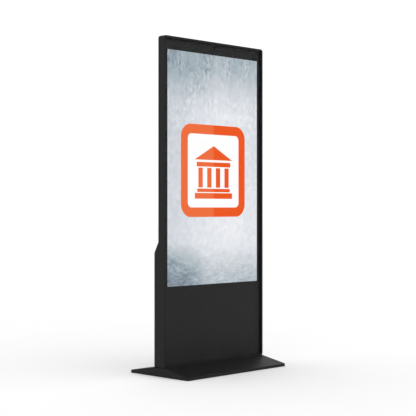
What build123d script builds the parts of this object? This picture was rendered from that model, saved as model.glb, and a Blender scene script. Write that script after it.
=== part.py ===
from build123d import *
from math import cos, radians, sin, sqrt, tan
import os

# Free-standing touchscreen kiosk: a portrait display slab on a low gable-shaped steel base.
# Millimetres. +X is to the right of someone facing the screen, -Y is the side the screen
# faces, +Z is up. The origin is on the floor at the centre of the base.

# ---- Base ----
base_depth = 426.0
base_edge_height = 14.4
base_edge_gap = 1.0            # cover's lower edge above the floor
base_ridge_height = 46.5
base_seat_height = 43.0        # floor of the shallow channel that the slab stands in
base_corner_radius = 8.0
base_side_inset = 3.0          # base end behind the slab's side
cover_wall = 3.0
cover_bend_radius = 2.0
pad_radius = 20.0
pad_height = 3.0
pad_chamfer = 0.5
pad_edge_distance = 45.0
base_plate_thickness = 8.0
base_plate_clearance = 1.0
anchor_spacing_x = 500.0
anchor_spacing_y = 200.0
anchor_hole_radius = 6.0
cable_hole_radius = 25.0

# ---- Display panel ----
active_width = 680.4
active_height = 1209.6
panel_edge = 7.0               # cell beyond the active area, each side
cell_thickness = 2.2
diffuser_thickness = 2.0
tray_sheet = 1.0
tray_depth = 13.5
tray_ledge = 9.0               # ledge that carries the diffuser and the cell
bezel_sheet = 1.0
bezel_lap = 5.0                # bezel lip over the cell's edge
panel_clearance = 0.5
led_bar_count = 10
led_bar_width = 12.0
led_bar_thickness = 1.5
led_bar_end_gap = 20.0

# ---- Slab: outer frame and front glass ----
side_border = 35.8             # active area's edge to the slab's outer side
top_border = 68.4
slab_top = 1736.5
slab_seat_gap = 0.3
slab_depth = 41.5
slab_front_setback = 168.5     # base's front edge to the rim's front plane
corner_radius = 15.0
rim_width = 11.0
rim_height = 6.5               # rim stands this far in front of the glass
rim_chamfer = 0.5
frame_wall = 3.0
flange_width = 18.0
flange_thickness = 2.0
tape_thickness = 0.5
glass_thickness = 4.0
glass_clearance = 0.6
print_thickness = 0.3
window_margin = 1.0            # printed window beyond the active area
sensor_thickness = 1.2
sensor_edge = 6.0
cell_air_gap = 1.3
smallest_radius = 0.8

# ---- Camera ----
camera_drop = 31.5             # slab's top to the camera's axis
aperture_radius = 7.5
lens_radius = 7.0
lens_bore_radius = 5.0
lens_bore_depth = 3.0
lens_gap = 0.5
camera_board_width = 38.0
camera_board_height = 28.0
camera_bracket_width = 60.0
camera_bracket_height = 30.0
camera_bracket_reach = 6.5
camera_bracket_leg = 8.0
board_thickness = 1.6
sheet = 2.0                    # steel sheet of the covers, the housing and the brackets

# ---- Steel frame inside ----
upright_width = 18.0
upright_wall = 2.0
upright_gap = 1.0               # upright inside the base cover's end wall
upright_front_gap = 2.7        # behind the printed glass
slot_clearance = 0.5
member_height = 40.0
member_wall = 1.5
member_end_inset = 65.0        # first and last member from the active area's ends
foot_length = 185.0
foot_width = 72.0
foot_thickness = 8.0
cheek_thickness = 6.0
cheek_height = 130.0
foot_bolt_radius = 5.0
foot_bolt_head_radius = 8.5
foot_bolt_head_height = 6.4
foot_bolt_edge = 18.0
cheek_bolt_radius = 4.0
cheek_bolt_head_radius = 6.5
cheek_bolt_head_height = 5.3
cheek_bolt_spacing = 50.0
cheek_bolt_rise = 12.0          # lowest bolt above the slab's bottom wall

# ---- Rear housing ----
housing_depth = 30.5
housing_slope_top = 684.7
housing_slope_bottom = 627.9
housing_lip = 18.0
housing_lip_drop = 4.0
housing_bend_radius = 2.0
cover_gap = 0.5
cover_lap = 24.0               # rear cover reaches down behind the housing's lip
vent_length = 70.0
vent_width = 4.0
vent_pitch = 9.0
vent_rows = 7
vent_columns = 5
vent_column_pitch = 100.0
vent_drop = 110.0

# ---- Screws ----
screw_radius = 2.0
screw_head_radius = 4.0
screw_head_height = 2.2
screw_socket_radius = 1.45
screw_socket_depth = 1.2
screw_chamfer = 0.5
screw_engagement = 6.0
screw_clearance = 0.2
thread_clearance = 0.05
cover_screw_rows = 5
housing_screw_rows = 4
screw_end_distance = 45.0

# ---- Service door ----
door_side_margin = 56.0        # slab's side to the door's edge
door_height = 360.0
door_bottom = 150.0
door_gap = 1.5
door_corner_radius = 4.0
door_edge_radius = 0.8
door_seat_depth = 5.0
door_seat_lap = 10.0
door_seat_band = 10.0
gasket_width = 8.0
gasket_clearance = 0.3
hinge_count = 3
hinge_height = 60.0
hinge_end_distance = 60.0
hinge_leaf_width = 20.0
hinge_leaf_thickness = 1.5
knuckle_radius = 4.0
knuckle_lift = 0.2             # knuckle above the face that the leaves lie on
knuckle_gap = 0.3
pin_radius = 2.0
running_clearance = 0.05

# ---- Cam lock ----
lock_edge_distance = 28.0
lock_flange_radius = 11.5
lock_flange_thickness = 2.0
lock_barrel_radius = 9.5
lock_nut_radius = 13.0
lock_nut_height = 2.6
lock_plug_radius = 6.0
key_slot_width = 1.4
key_slot_height = 7.5
key_slot_depth = 4.0
cam_reach = 27.0
cam_width = 14.0
cam_thickness = 2.0
cam_clearance = 1.2            # cam behind the seat's lip
cam_gap = 0.3
cam_screw_radius = 7.8

# ---- Cooling fans and loudspeakers ----
fan_size = 60.0
fan_depth = 15.0
fan_bore_radius = 28.5
fan_offset = 70.0
fan_hub_radius = 12.0
fan_tip_gap = 1.0
fan_blade_count = 7
fan_blade_chord = 11.0
fan_blade_thickness = 1.4
fan_blade_pitch = 38.0
fan_spoke_width = 4.0
fan_plate_thickness = 2.0
fan_gap = 0.6
fan_shaft_radius = 1.5
grille_radius = 27.0
grille_slot = 3.0
grille_pitch = 6.0
speaker_offset = 250.0
speaker_radius = 34.0
speaker_flange = 2.0
speaker_depth = 20.0
speaker_basket = 10.0
speaker_magnet_radius = 18.0
speaker_cone_radius = 29.0
speaker_dome_radius = 9.0
vent_device_drop = 40.0        # fans and loudspeakers below the housing's upper bend

# ---- Connections at the bottom of the housing ----
port_x = 0.0
port_height_above_seat = 52.0
port_window_width = 140.0
port_window_height = 34.0
port_plate_margin = 10.0
inlet_x = -44.0
inlet_width = 27.0
inlet_height = 20.0
inlet_wall = 1.5
inlet_flange = 3.0
inlet_depth = 22.0
inlet_cavity = 17.0
inlet_pin_length = 12.0
inlet_pin_spread = 7.0
inlet_pin_rise = 2.0
inlet_pin_width = 2.0
inlet_pin_height = 4.0
switch_x = 4.0
switch_width = 13.0
switch_height = 19.0
switch_flange = 2.0
switch_depth = 14.0
switch_wall = 1.4
rocker_radius = 7.7
rocker_clearance = 0.4
rocker_tilt = 10.0
rocker_waist = 2.5
rocker_belly = 3.0
rocker_pin_radius = 1.2
jack_x = 44.0
jack_width = 17.0
jack_height = 14.0
jack_depth = 20.0
jack_flange = 1.5
jack_cavity_width = 12.0
jack_cavity_height = 7.5
jack_cavity_depth = 14.0
port_fit = 0.2

# ---- Equipment ----
equipment_front_gap = 14.0     # equipment plate behind the printed glass
equipment_bottom_gap = 12.0    # equipment plate above the feet's cheeks
equipment_top_gap = 14.0       # equipment plate below the panel and the loudspeakers
equipment_flange = 12.0
standoff_radius = 3.0
standoff_height = 3.0
standoff_inset = 8.0
player_width = 190.0
player_height = 150.0
player_depth = 30.0
player_drop = 100.0            # centre below the equipment plate's top
fin_count = 12
fin_depth = 5.0
fin_gap = 8.0
player_button_radius = 5.0
player_button_travel = 1.2
player_button_height = 4.0
player_button_offset = 50.0
player_port_width = 60.0
player_port_height = 9.0
player_port_depth = 8.0
supply_width = 200.0
supply_height = 100.0
supply_depth = 28.0
supply_x = 20.0
supply_hole_radius = 2.0
supply_hole_pitch = 9.0
supply_hole_depth = 2.0
supply_hole_columns = 12
supply_hole_rows = 8
terminal_width = 22.0
terminal_height = 80.0
terminal_step = 12.0
terminal_count = 7
terminal_well_depth = 6.0
board_width = 120.0
board_height = 90.0
board_gap = 35.0               # beside the power supply
board_drop = 70.0
controller_width = 90.0
controller_height = 50.0
controller_drop = 190.0
chip_height = 3.0
chip_shift = 12.0              # chip's centre left of its board's centre
display_chip_size = 30.0
touch_chip_size = 16.0
header_width = 12.0
header_height = 6.0
header_edge = 14.0             # header's centre from its board's right edge
display_header_length = 45.0
touch_header_length = 25.0
filter_width = 70.0
filter_height = 46.0
filter_depth = 26.0
filter_drop = 235.0

# ---- Planes and places that follow ----
front_y = -base_depth / 2 + slab_front_setback
slab_back_y = front_y + slab_depth
housing_back_y = slab_back_y + housing_depth
housing_inner_y = housing_back_y - sheet
glass_front_y = front_y + rim_height
lip_back_y = glass_front_y - tape_thickness
glass_back_y = glass_front_y + glass_thickness
print_back_y = glass_back_y + print_thickness
sensor_back_y = print_back_y + sensor_thickness
cell_front_y = sensor_back_y + cell_air_gap
cell_back_y = cell_front_y + cell_thickness
diffuser_back_y = cell_back_y + diffuser_thickness
tray_back_y = diffuser_back_y + tray_depth
rear_cover_front_y = slab_back_y - sheet
flange_front_y = rear_cover_front_y - flange_thickness
upright_front_y = print_back_y + upright_front_gap
upright_depth = flange_front_y - upright_front_y
upright_mid_y = (upright_front_y + flange_front_y) / 2

slab_width = active_width + 2 * side_border
slab_bottom = base_seat_height + slab_seat_gap
slab_height = slab_top - slab_bottom
slab_mid_z = (slab_top + slab_bottom) / 2
base_width = slab_width - 2 * base_side_inset
plate_top = pad_height + base_plate_thickness
foot_top = plate_top + foot_thickness
active_top = slab_top - top_border
active_mid_z = active_top - active_height / 2
active_bottom = active_top - active_height
panel_bottom = active_bottom - panel_edge - panel_clearance - bezel_sheet
camera_z = slab_top - camera_drop
upright_x = base_width / 2 - cover_wall - upright_gap - upright_width / 2
upright_inner_x = upright_x - upright_width / 2
upright_top = slab_top - corner_radius
cheek_inner_x = upright_inner_x - cheek_thickness

top_member_z = slab_top - frame_wall - flange_width - slot_clearance - member_height / 2
lower_member_z = max(housing_slope_top, active_bottom + member_end_inset)
upper_member_z = active_top - member_end_inset
middle_member_z = (lower_member_z + upper_member_z) / 2

door_width = slab_width - 2 * door_side_margin
door_mid_z = door_bottom + door_height / 2
hinge_x = -door_width / 2 - door_gap / 2
hinge_y = housing_back_y + knuckle_lift + knuckle_radius
lock_x = door_width / 2 - lock_edge_distance
seat_front_y = housing_inner_y - door_seat_depth
seat_lip_back_y = seat_front_y + sheet
cam_back_y = seat_front_y - cam_clearance
device_z = housing_slope_bottom - vent_device_drop
port_z = slab_bottom + port_height_above_seat
equipment_back_y = print_back_y + equipment_front_gap + sheet
equipment_top = min(panel_bottom, device_z - speaker_radius) - equipment_top_gap
equipment_bottom = plate_top + cheek_height + equipment_bottom_gap
device_back_y = equipment_back_y + standoff_height


def across(y):
    """Upright plane at depth y, drawn as seen from the front; it extrudes towards the front."""
    return Plane.XZ.offset(-y)


def slab_outline(y, inset):
    """The slab's rounded outline at depth y, brought in by inset."""
    with BuildSketch(across(y)) as outline:
        with Locations((0, slab_mid_z)):
            RectangleRounded(slab_width - 2 * inset, slab_height - 2 * inset,
                             max(corner_radius - inset, smallest_radius))
    return outline.sketch


def slab_ring(y, outer_inset, inner_inset):
    """A band that follows the slab's outline."""
    with BuildSketch(across(y)) as ring:
        add(slab_outline(y, outer_inset))
        add(slab_outline(y, inner_inset), mode=Mode.SUBTRACT)
    return ring.sketch


def panel_rectangle(y, growth):
    """The active area at depth y, grown on every side."""
    with BuildSketch(across(y)) as face:
        with Locations((0, active_mid_z)):
            Rectangle(active_width + 2 * growth, active_height + 2 * growth)
    return face.sketch


def panel_ring(y, outer_growth, inner_growth):
    """A band around the active area."""
    with BuildSketch(across(y)) as ring:
        add(panel_rectangle(y, outer_growth))
        add(panel_rectangle(y, inner_growth), mode=Mode.SUBTRACT)
    return ring.sketch


def rectangle_at(y, x, z, width, height, radius=0.0):
    """A rectangle with its centre at x and z, on the upright plane at depth y."""
    with BuildSketch(across(y)) as face:
        with Locations((x, z)):
            if radius > 0:
                RectangleRounded(width, height, radius)
            else:
                Rectangle(width, height)
    return face.sketch


def circles_at(y, points, radius):
    """Equal circles at x and z points, on the upright plane at depth y."""
    with BuildSketch(across(y)) as face:
        with Locations(*points):
            Circle(radius)
    return face.sketch


def hexagons_at(y, points):
    """Screws' hexagon sockets at x and z points, on the upright plane at depth y."""
    with BuildSketch(across(y)) as face:
        with Locations(*points):
            RegularPolygon(screw_socket_radius, 6)
    return face.sketch


def socket_screws(points, seat_y, grip):
    """Socket screws driven from behind: heads on the plane seat_y, shanks towards the front."""
    with BuildPart() as screws:
        extrude(circles_at(seat_y + screw_head_height, points, screw_head_radius), screw_head_height)
        fillet(screws.faces().group_by(Axis.Y)[-1].edges(), screw_head_height / 2)
        extrude(circles_at(seat_y, points, screw_radius), grip)
        extrude(hexagons_at(seat_y + screw_head_height, points), screw_socket_depth, mode=Mode.SUBTRACT)
    return screws.part


def slotted_disc(y, x, z, radius):
    """Level slots that fill a circle: a punched grille."""
    rows = int(radius / grille_pitch)
    with BuildSketch(across(y)) as grille:
        for row in range(-rows, rows + 1):
            drop = row * grille_pitch
            chord = 2 * sqrt(max(radius ** 2 - drop ** 2, grille_slot ** 2))
            if chord > 2 * grille_slot:
                with Locations((x, z + drop)):
                    SlotOverall(chord, grille_slot)
    return grille.sketch


os.makedirs("parts", exist_ok=True)

# =====================================================================================
# Base
# =====================================================================================


def gable(inset):
    """The base's solid gable with the slab's channel along its ridge, brought in by inset."""
    channel_front_y = front_y - base_edge_gap
    channel_back_y = housing_back_y + base_edge_gap
    floor_z = base_edge_gap - 2 * inset
    with BuildPart() as block:
        with BuildSketch(Plane.YZ):
            with BuildLine():
                Polyline(
                    (-base_depth / 2, floor_z),
                    (-base_depth / 2, base_edge_height),
                    (channel_front_y, base_ridge_height),
                    (channel_front_y, base_seat_height),
                    (channel_back_y, base_seat_height),
                    (channel_back_y, base_ridge_height),
                    (base_depth / 2, base_edge_height),
                    (base_depth / 2, floor_z),
                    close=True,
                )
            make_face()
            if inset > 0:
                offset(amount=-inset, kind=Kind.INTERSECTION)
        extrude(amount=base_width / 2 - inset, both=True)
        with BuildSketch(Plane.XY.offset(floor_z)):
            RectangleRounded(base_width - 2 * inset, base_depth - 2 * inset, base_corner_radius - inset)
        extrude(amount=base_ridge_height - floor_z, mode=Mode.INTERSECT)
        if inset == 0:
            slopes = block.faces().filter_by(lambda face: 0.1 < face.normal_at().Z < 0.999)
            rims = slopes.edges().filter_by(lambda edge: abs(edge.center().Y) > channel_back_y + pad_radius)
            fillet(rims, cover_bend_radius)
    return block.part


# Slots where an upright and its foot's cheek pass through the cover and the slab's bottom.
foot_slot_inner_x = cheek_inner_x - slot_clearance
foot_slot_outer_x = upright_x + upright_width / 2 + slot_clearance
foot_slot_width = foot_slot_outer_x - foot_slot_inner_x
foot_slot_x = (foot_slot_outer_x + foot_slot_inner_x) / 2
foot_slot_depth = upright_depth + 2 * slot_clearance
foot_slots = [(side * foot_slot_x, upright_mid_y) for side in (-1, 1)]
cable_slot_radius = upright_depth / 2 - slot_clearance

cover_screw_z = pad_height + base_plate_thickness / 2
cover_screw_xs = [-base_width / 3, 0, base_width / 3]
plate_edge_y = base_depth / 2 - cover_wall - base_plate_clearance
cover_screw_length = cover_wall + base_plate_clearance + screw_engagement
cover_screw_points = [(x, cover_screw_z) for x in cover_screw_xs]

with BuildPart() as base_cover:
    add(gable(0))
    add(gable(cover_wall), mode=Mode.SUBTRACT)
    with BuildSketch(Plane.XY.offset(base_seat_height)):
        with Locations(*foot_slots):
            Rectangle(foot_slot_width, foot_slot_depth)
        with Locations((0, upright_mid_y)):
            Circle(cable_slot_radius)
    extrude(amount=-2 * cover_wall, mode=Mode.SUBTRACT)
    extrude(circles_at(base_depth / 2, cover_screw_points, screw_radius + screw_clearance),
            2 * cover_wall, mode=Mode.SUBTRACT)
base_cover.part.label = "base_cover"
export_step(base_cover.part, "parts/base_cover.step")

foot_bolt_ys = [side * (foot_length / 2 - foot_bolt_edge) + upright_mid_y for side in (-1, 1)]
foot_inner_x = upright_x + upright_width / 2 - foot_width
foot_bolt_xs = [foot_inner_x + foot_bolt_edge, cheek_inner_x - foot_bolt_edge]
foot_bolt_points = [(side * x, y) for side in (-1, 1) for x in foot_bolt_xs for y in foot_bolt_ys]

with BuildPart() as base_plate:
    with BuildSketch(Plane.XY.offset(pad_height)):
        RectangleRounded(base_width - 2 * (cover_wall + base_plate_clearance),
                         base_depth - 2 * (cover_wall + base_plate_clearance),
                         base_corner_radius - cover_wall - base_plate_clearance)
        with GridLocations(anchor_spacing_x, anchor_spacing_y, 2, 2):
            Circle(anchor_hole_radius, mode=Mode.SUBTRACT)
        with Locations(*foot_bolt_points):
            Circle(foot_bolt_radius + thread_clearance, mode=Mode.SUBTRACT)
        with Locations((0, upright_mid_y)):
            Circle(cable_hole_radius, mode=Mode.SUBTRACT)
    extrude(amount=base_plate_thickness)
    extrude(circles_at(plate_edge_y, cover_screw_points, screw_radius + thread_clearance),
            cover_screw_length, mode=Mode.SUBTRACT)
base_plate.part.label = "base_plate"
export_step(base_plate.part, "parts/base_plate.step")

# Headless set screws that end flush with the cover's back wall.
with BuildPart() as cover_screws:
    extrude(circles_at(base_depth / 2, cover_screw_points, screw_radius), cover_screw_length)
    chamfer(cover_screws.faces().group_by(Axis.Y)[-1].edges(), screw_chamfer)
    extrude(hexagons_at(base_depth / 2, cover_screw_points), screw_socket_depth, mode=Mode.SUBTRACT)
cover_screws.part.label = "cover_screws"
export_step(cover_screws.part, "parts/cover_screws.step")

with BuildPart() as foot_pads:
    with BuildSketch(Plane.XY):
        with GridLocations(base_width - 2 * pad_edge_distance, base_depth - 2 * pad_edge_distance, 2, 2):
            Circle(pad_radius)
        with GridLocations(1, base_depth - 2 * pad_edge_distance, 1, 2):
            Circle(pad_radius)
    extrude(amount=pad_height)
    chamfer(foot_pads.faces().group_by(Axis.Z)[0].edges(), pad_chamfer)
foot_pads.part.label = "foot_pads"
export_step(foot_pads.part, "parts/foot_pads.step")

cheek_bolt_bottom = slab_bottom + frame_wall + cheek_bolt_rise
cheek_bolt_points = [(upright_mid_y, cheek_bolt_bottom + step * cheek_bolt_spacing) for step in (0, 1)]
foot_labels = {-1: "left_foot_bracket", 1: "right_foot_bracket"}
for side, label in foot_labels.items():
    with BuildPart() as foot_bracket:
        with BuildSketch(Plane.XY.offset(plate_top)):
            with Locations((side * (foot_inner_x + foot_width / 2), upright_mid_y)):
                Rectangle(foot_width, foot_length)
            with Locations(*foot_bolt_points):
                Circle(foot_bolt_radius + screw_clearance, mode=Mode.SUBTRACT)
        extrude(amount=foot_thickness)
        with BuildSketch(Plane.XY.offset(plate_top)):
            with Locations((side * (upright_inner_x - cheek_thickness / 2), upright_mid_y)):
                Rectangle(cheek_thickness, upright_depth)
        extrude(amount=cheek_height)
        with BuildSketch(Plane.YZ.offset(side * cheek_inner_x)):
            with Locations(*cheek_bolt_points):
                Circle(cheek_bolt_radius + screw_clearance)
        extrude(amount=side * cheek_thickness, mode=Mode.SUBTRACT)
    foot_bracket.part.label = label
    export_step(foot_bracket.part, f"parts/{label}.step")

with BuildPart() as foot_bolts:
    with BuildSketch(Plane.XY.offset(foot_top)):
        with Locations(*foot_bolt_points):
            RegularPolygon(foot_bolt_head_radius, 6)
    extrude(amount=foot_bolt_head_height)
    with BuildSketch(Plane.XY.offset(foot_top)):
        with Locations(*foot_bolt_points):
            Circle(foot_bolt_radius)
    extrude(amount=-(foot_thickness + base_plate_thickness))
foot_bolts.part.label = "foot_bolts"
export_step(foot_bolts.part, "parts/foot_bolts.step")

with BuildPart() as upright_bolts:
    for side in (-1, 1):
        with BuildSketch(Plane.YZ.offset(side * cheek_inner_x)):
            with Locations(*cheek_bolt_points):
                RegularPolygon(cheek_bolt_head_radius, 6)
        extrude(amount=-side * cheek_bolt_head_height)
        with BuildSketch(Plane.YZ.offset(side * cheek_inner_x)):
            with Locations(*cheek_bolt_points):
                Circle(cheek_bolt_radius)
        extrude(amount=side * (cheek_thickness + upright_width))
upright_bolts.part.label = "upright_bolts"
export_step(upright_bolts.part, "parts/upright_bolts.step")

# =====================================================================================
# Steel frame inside the slab
# =====================================================================================

cover_bottom = housing_slope_top - cover_lap


def screw_rows(bottom, top, count):
    """Evenly spaced screws up both uprights, as x and z points."""
    step = (top - bottom) / (count - 1)
    return [(side * upright_x, bottom + row * step) for side in (-1, 1) for row in range(count)]


rear_cover_screw_points = screw_rows(housing_slope_top + screw_end_distance, slab_top - screw_end_distance,
                                     cover_screw_rows)
housing_screw_points = screw_rows(slab_bottom + screw_end_distance, housing_slope_bottom, housing_screw_rows)

upright_height = upright_top - foot_top
upright_labels = {-1: "left_upright", 1: "right_upright"}
for side, label in upright_labels.items():
    with BuildPart() as upright:
        with BuildSketch(Plane.XY.offset(foot_top)):
            with Locations((side * upright_x, upright_mid_y)):
                Rectangle(upright_width, upright_depth)
                Rectangle(upright_width - 2 * upright_wall, upright_depth - 2 * upright_wall,
                          mode=Mode.SUBTRACT)
        extrude(amount=upright_height)
        extrude(circles_at(flange_front_y, rear_cover_screw_points + housing_screw_points,
                           screw_radius + thread_clearance),
                upright_wall, mode=Mode.SUBTRACT)
        with BuildSketch(Plane.YZ.offset(side * upright_inner_x)):
            with Locations(*cheek_bolt_points):
                Circle(cheek_bolt_radius + thread_clearance)
        extrude(amount=side * upright_width, mode=Mode.SUBTRACT)
    upright.part.label = label
    export_step(upright.part, f"parts/{label}.step")

member_depth = rear_cover_front_y - tray_back_y
panel_screw_x = active_width / 4
panel_screw_points = [(side * panel_screw_x, z) for side in (-1, 1)
                      for z in (lower_member_z, middle_member_z, upper_member_z)]
member_zs = [lower_member_z, middle_member_z, upper_member_z, top_member_z]
member_points = [(0, z) for z in member_zs]
with BuildPart() as cross_members:
    with BuildSketch(across(rear_cover_front_y)):
        with Locations(*member_points):
            Rectangle(2 * upright_inner_x, member_height)
    extrude(amount=member_depth)
    with BuildSketch(across(rear_cover_front_y - member_wall)):
        with Locations(*member_points):
            Rectangle(2 * upright_inner_x, member_height - 2 * member_wall)
    extrude(amount=member_depth - 2 * member_wall, mode=Mode.SUBTRACT)
    extrude(circles_at(tray_back_y + member_wall, panel_screw_points, screw_radius + screw_clearance),
            member_wall, mode=Mode.SUBTRACT)
    extrude(circles_at(rear_cover_front_y, panel_screw_points, screw_head_radius + screw_clearance),
            member_wall, mode=Mode.SUBTRACT)
cross_members.part.label = "cross_members"
export_step(cross_members.part, "parts/cross_members.step")

# =====================================================================================
# Slab: outer frame, glass, touch sensor and display panel
# =====================================================================================

with BuildPart() as outer_frame:
    extrude(slab_ring(slab_back_y, 0, frame_wall), slab_depth)
    extrude(slab_ring(lip_back_y, 0, rim_width), rim_height - tape_thickness)
    extrude(slab_ring(rear_cover_front_y, 0, frame_wall + flange_width), flange_thickness)
    with BuildSketch(Plane.XY.offset(slab_bottom)):
        with Locations(*foot_slots):
            Rectangle(foot_slot_width, foot_slot_depth)
        with Locations((0, upright_mid_y)):
            Circle(cable_slot_radius)
    extrude(amount=corner_radius, mode=Mode.SUBTRACT)
    extrude(circles_at(rear_cover_front_y, rear_cover_screw_points + housing_screw_points,
                       screw_radius + screw_clearance),
            flange_thickness, mode=Mode.SUBTRACT)
    chamfer(outer_frame.edges().group_by(Axis.Y)[0], rim_chamfer)
outer_frame.part.label = "outer_frame"
export_step(outer_frame.part, "parts/outer_frame.step")

glass_inset = frame_wall + glass_clearance
with BuildPart() as glass_tape:
    extrude(slab_ring(glass_front_y, glass_inset, rim_width), tape_thickness)
glass_tape.part.label = "glass_tape"
export_step(glass_tape.part, "parts/glass_tape.step")

with BuildPart() as front_glass:
    extrude(slab_outline(glass_back_y, glass_inset), glass_thickness)
front_glass.part.label = "front_glass"
export_step(front_glass.part, "parts/front_glass.step")

with BuildPart() as glass_print:
    extrude(slab_outline(print_back_y, glass_inset), print_thickness)
    extrude(panel_rectangle(print_back_y, window_margin), print_thickness, mode=Mode.SUBTRACT)
    extrude(circles_at(print_back_y, [(0, camera_z)], aperture_radius), print_thickness, mode=Mode.SUBTRACT)
glass_print.part.label = "glass_print"
export_step(glass_print.part, "parts/glass_print.step")

with BuildPart() as touch_sensor:
    extrude(panel_rectangle(sensor_back_y, sensor_edge), sensor_thickness)
touch_sensor.part.label = "touch_sensor"
export_step(touch_sensor.part, "parts/touch_sensor.step")

with BuildPart() as lcd_cell:
    extrude(panel_rectangle(cell_back_y, panel_edge), cell_thickness)
lcd_cell.part.label = "lcd_cell"
export_step(lcd_cell.part, "parts/lcd_cell.step")

with BuildPart() as diffuser_plate:
    extrude(panel_rectangle(diffuser_back_y, panel_edge), diffuser_thickness)
diffuser_plate.part.label = "diffuser_plate"
export_step(diffuser_plate.part, "parts/diffuser_plate.step")

# The bezel's lip lies on the cell; its skirt reaches back past the tray's ledge.
bezel_growth = panel_edge + panel_clearance + bezel_sheet
ledge_back_y = diffuser_back_y + tray_sheet
with BuildPart() as panel_bezel:
    extrude(panel_ring(cell_front_y, bezel_growth, panel_edge - bezel_lap), bezel_sheet)
    extrude(panel_ring(ledge_back_y, bezel_growth, bezel_growth - bezel_sheet), ledge_back_y - cell_front_y)
panel_bezel.part.label = "panel_bezel"
export_step(panel_bezel.part, "parts/panel_bezel.step")

tray_growth = panel_edge - tray_ledge
with BuildPart() as backlight_tray:
    extrude(panel_rectangle(tray_back_y, tray_growth), tray_sheet)
    extrude(panel_ring(tray_back_y, tray_growth, tray_growth - tray_sheet), tray_depth)
    extrude(panel_ring(ledge_back_y, panel_edge, tray_growth - tray_sheet), tray_sheet)
    extrude(circles_at(tray_back_y, panel_screw_points, screw_radius + thread_clearance),
            tray_sheet, mode=Mode.SUBTRACT)
backlight_tray.part.label = "backlight_tray"
export_step(backlight_tray.part, "parts/backlight_tray.step")

with BuildPart() as led_bars:
    with BuildSketch(across(tray_back_y - tray_sheet)):
        with Locations((0, active_mid_z)):
            with GridLocations(1, active_height / led_bar_count, 1, led_bar_count):
                Rectangle(active_width - 2 * led_bar_end_gap, led_bar_width)
    extrude(amount=led_bar_thickness)
led_bars.part.label = "led_bars"
export_step(led_bars.part, "parts/led_bars.step")

# Screws inside the cross members, driven through the access holes in the members' backs.
with BuildPart() as panel_screws:
    add(socket_screws(panel_screw_points, tray_back_y + member_wall, member_wall + tray_sheet))
panel_screws.part.label = "panel_screws"
export_step(panel_screws.part, "parts/panel_screws.step")

# =====================================================================================
# Camera
# =====================================================================================

camera_bracket_front_y = tray_back_y - camera_bracket_reach
with BuildPart() as camera_bracket:
    extrude(rectangle_at(camera_bracket_front_y + sheet, 0, camera_z,
                         camera_bracket_width, camera_bracket_height), sheet)
    for side in (-1, 1):
        leg_x = side * (camera_bracket_width - camera_bracket_leg) / 2
        extrude(rectangle_at(tray_back_y, leg_x, camera_z, camera_bracket_leg, camera_bracket_height),
                camera_bracket_reach - sheet / 2)
camera_bracket.part.label = "camera_bracket"
export_step(camera_bracket.part, "parts/camera_bracket.step")

board_front_y = camera_bracket_front_y - board_thickness
with BuildPart() as camera_board:
    extrude(rectangle_at(camera_bracket_front_y, 0, camera_z, camera_board_width, camera_board_height),
            board_thickness)
camera_board.part.label = "camera_board"
export_step(camera_board.part, "parts/camera_board.step")

lens_front_y = print_back_y + lens_gap
with BuildPart() as camera_lens:
    extrude(circles_at(board_front_y, [(0, camera_z)], lens_radius), board_front_y - lens_front_y)
    extrude(circles_at(lens_front_y + lens_bore_depth, [(0, camera_z)], lens_bore_radius),
            lens_bore_depth, mode=Mode.SUBTRACT)
    fillet(camera_lens.faces().sort_by(Axis.Y)[0].edges(), smallest_radius / 2)
camera_lens.part.label = "camera_lens"
export_step(camera_lens.part, "parts/camera_lens.step")

# =====================================================================================
# Rear cover and rear housing
# =====================================================================================

with BuildPart() as rear_cover:
    extrude(slab_outline(slab_back_y, frame_wall + cover_gap), sheet)
    extrude(rectangle_at(slab_back_y, 0, cover_bottom - slab_height / 2, slab_width, slab_height),
            sheet, mode=Mode.SUBTRACT)
    with BuildSketch(across(slab_back_y)):
        with Locations((0, slab_top - vent_drop)):
            with GridLocations(vent_column_pitch, vent_pitch, vent_columns, vent_rows):
                SlotOverall(vent_length, vent_width)
    extrude(amount=sheet, mode=Mode.SUBTRACT)
    extrude(circles_at(slab_back_y, rear_cover_screw_points, screw_radius + screw_clearance),
            sheet, mode=Mode.SUBTRACT)
rear_cover.part.label = "rear_cover"
export_step(rear_cover.part, "parts/rear_cover.step")

with BuildPart() as rear_cover_screws:
    add(socket_screws(rear_cover_screw_points, slab_back_y, sheet + flange_thickness + upright_wall))
rear_cover_screws.part.label = "rear_cover_screws"
export_step(rear_cover_screws.part, "parts/rear_cover_screws.step")


def housing_block(inset):
    """The rear housing's solid shape, brought in by inset but reaching past its open front."""
    open_front_y = slab_back_y - 2 * inset
    slope = (housing_slope_top - housing_slope_bottom) / housing_depth
    with BuildPart() as block:
        with BuildSketch(Plane.YZ):
            with BuildLine():
                Polyline(
                    (open_front_y, slab_bottom),
                    (housing_back_y, slab_bottom),
                    (housing_back_y, housing_slope_bottom),
                    (open_front_y, housing_slope_top + slope * (slab_back_y - open_front_y)),
                    close=True,
                )
            make_face()
            if inset > 0:
                offset(amount=-inset, kind=Kind.INTERSECTION)
        extrude(amount=slab_width / 2 - inset, both=True)
        low_edges = block.edges().filter_by(Axis.Y).sort_by(Axis.Z)[:2]
        fillet(low_edges, corner_radius - inset)
        if inset == 0:
            back_face = block.faces().sort_by(Axis.Y)[-1]
            fillet(back_face.edges(), housing_bend_radius)
    return block.part


door_opening_width = door_width + 2 * door_gap
door_opening_height = door_height + 2 * door_gap
fan_xs = {"left": -fan_offset, "right": fan_offset}
speaker_xs = {"left": -speaker_offset, "right": speaker_offset}
lip_height = housing_slope_top - housing_lip_drop - slab_bottom
lip_mid_z = slab_bottom + lip_height / 2

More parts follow.
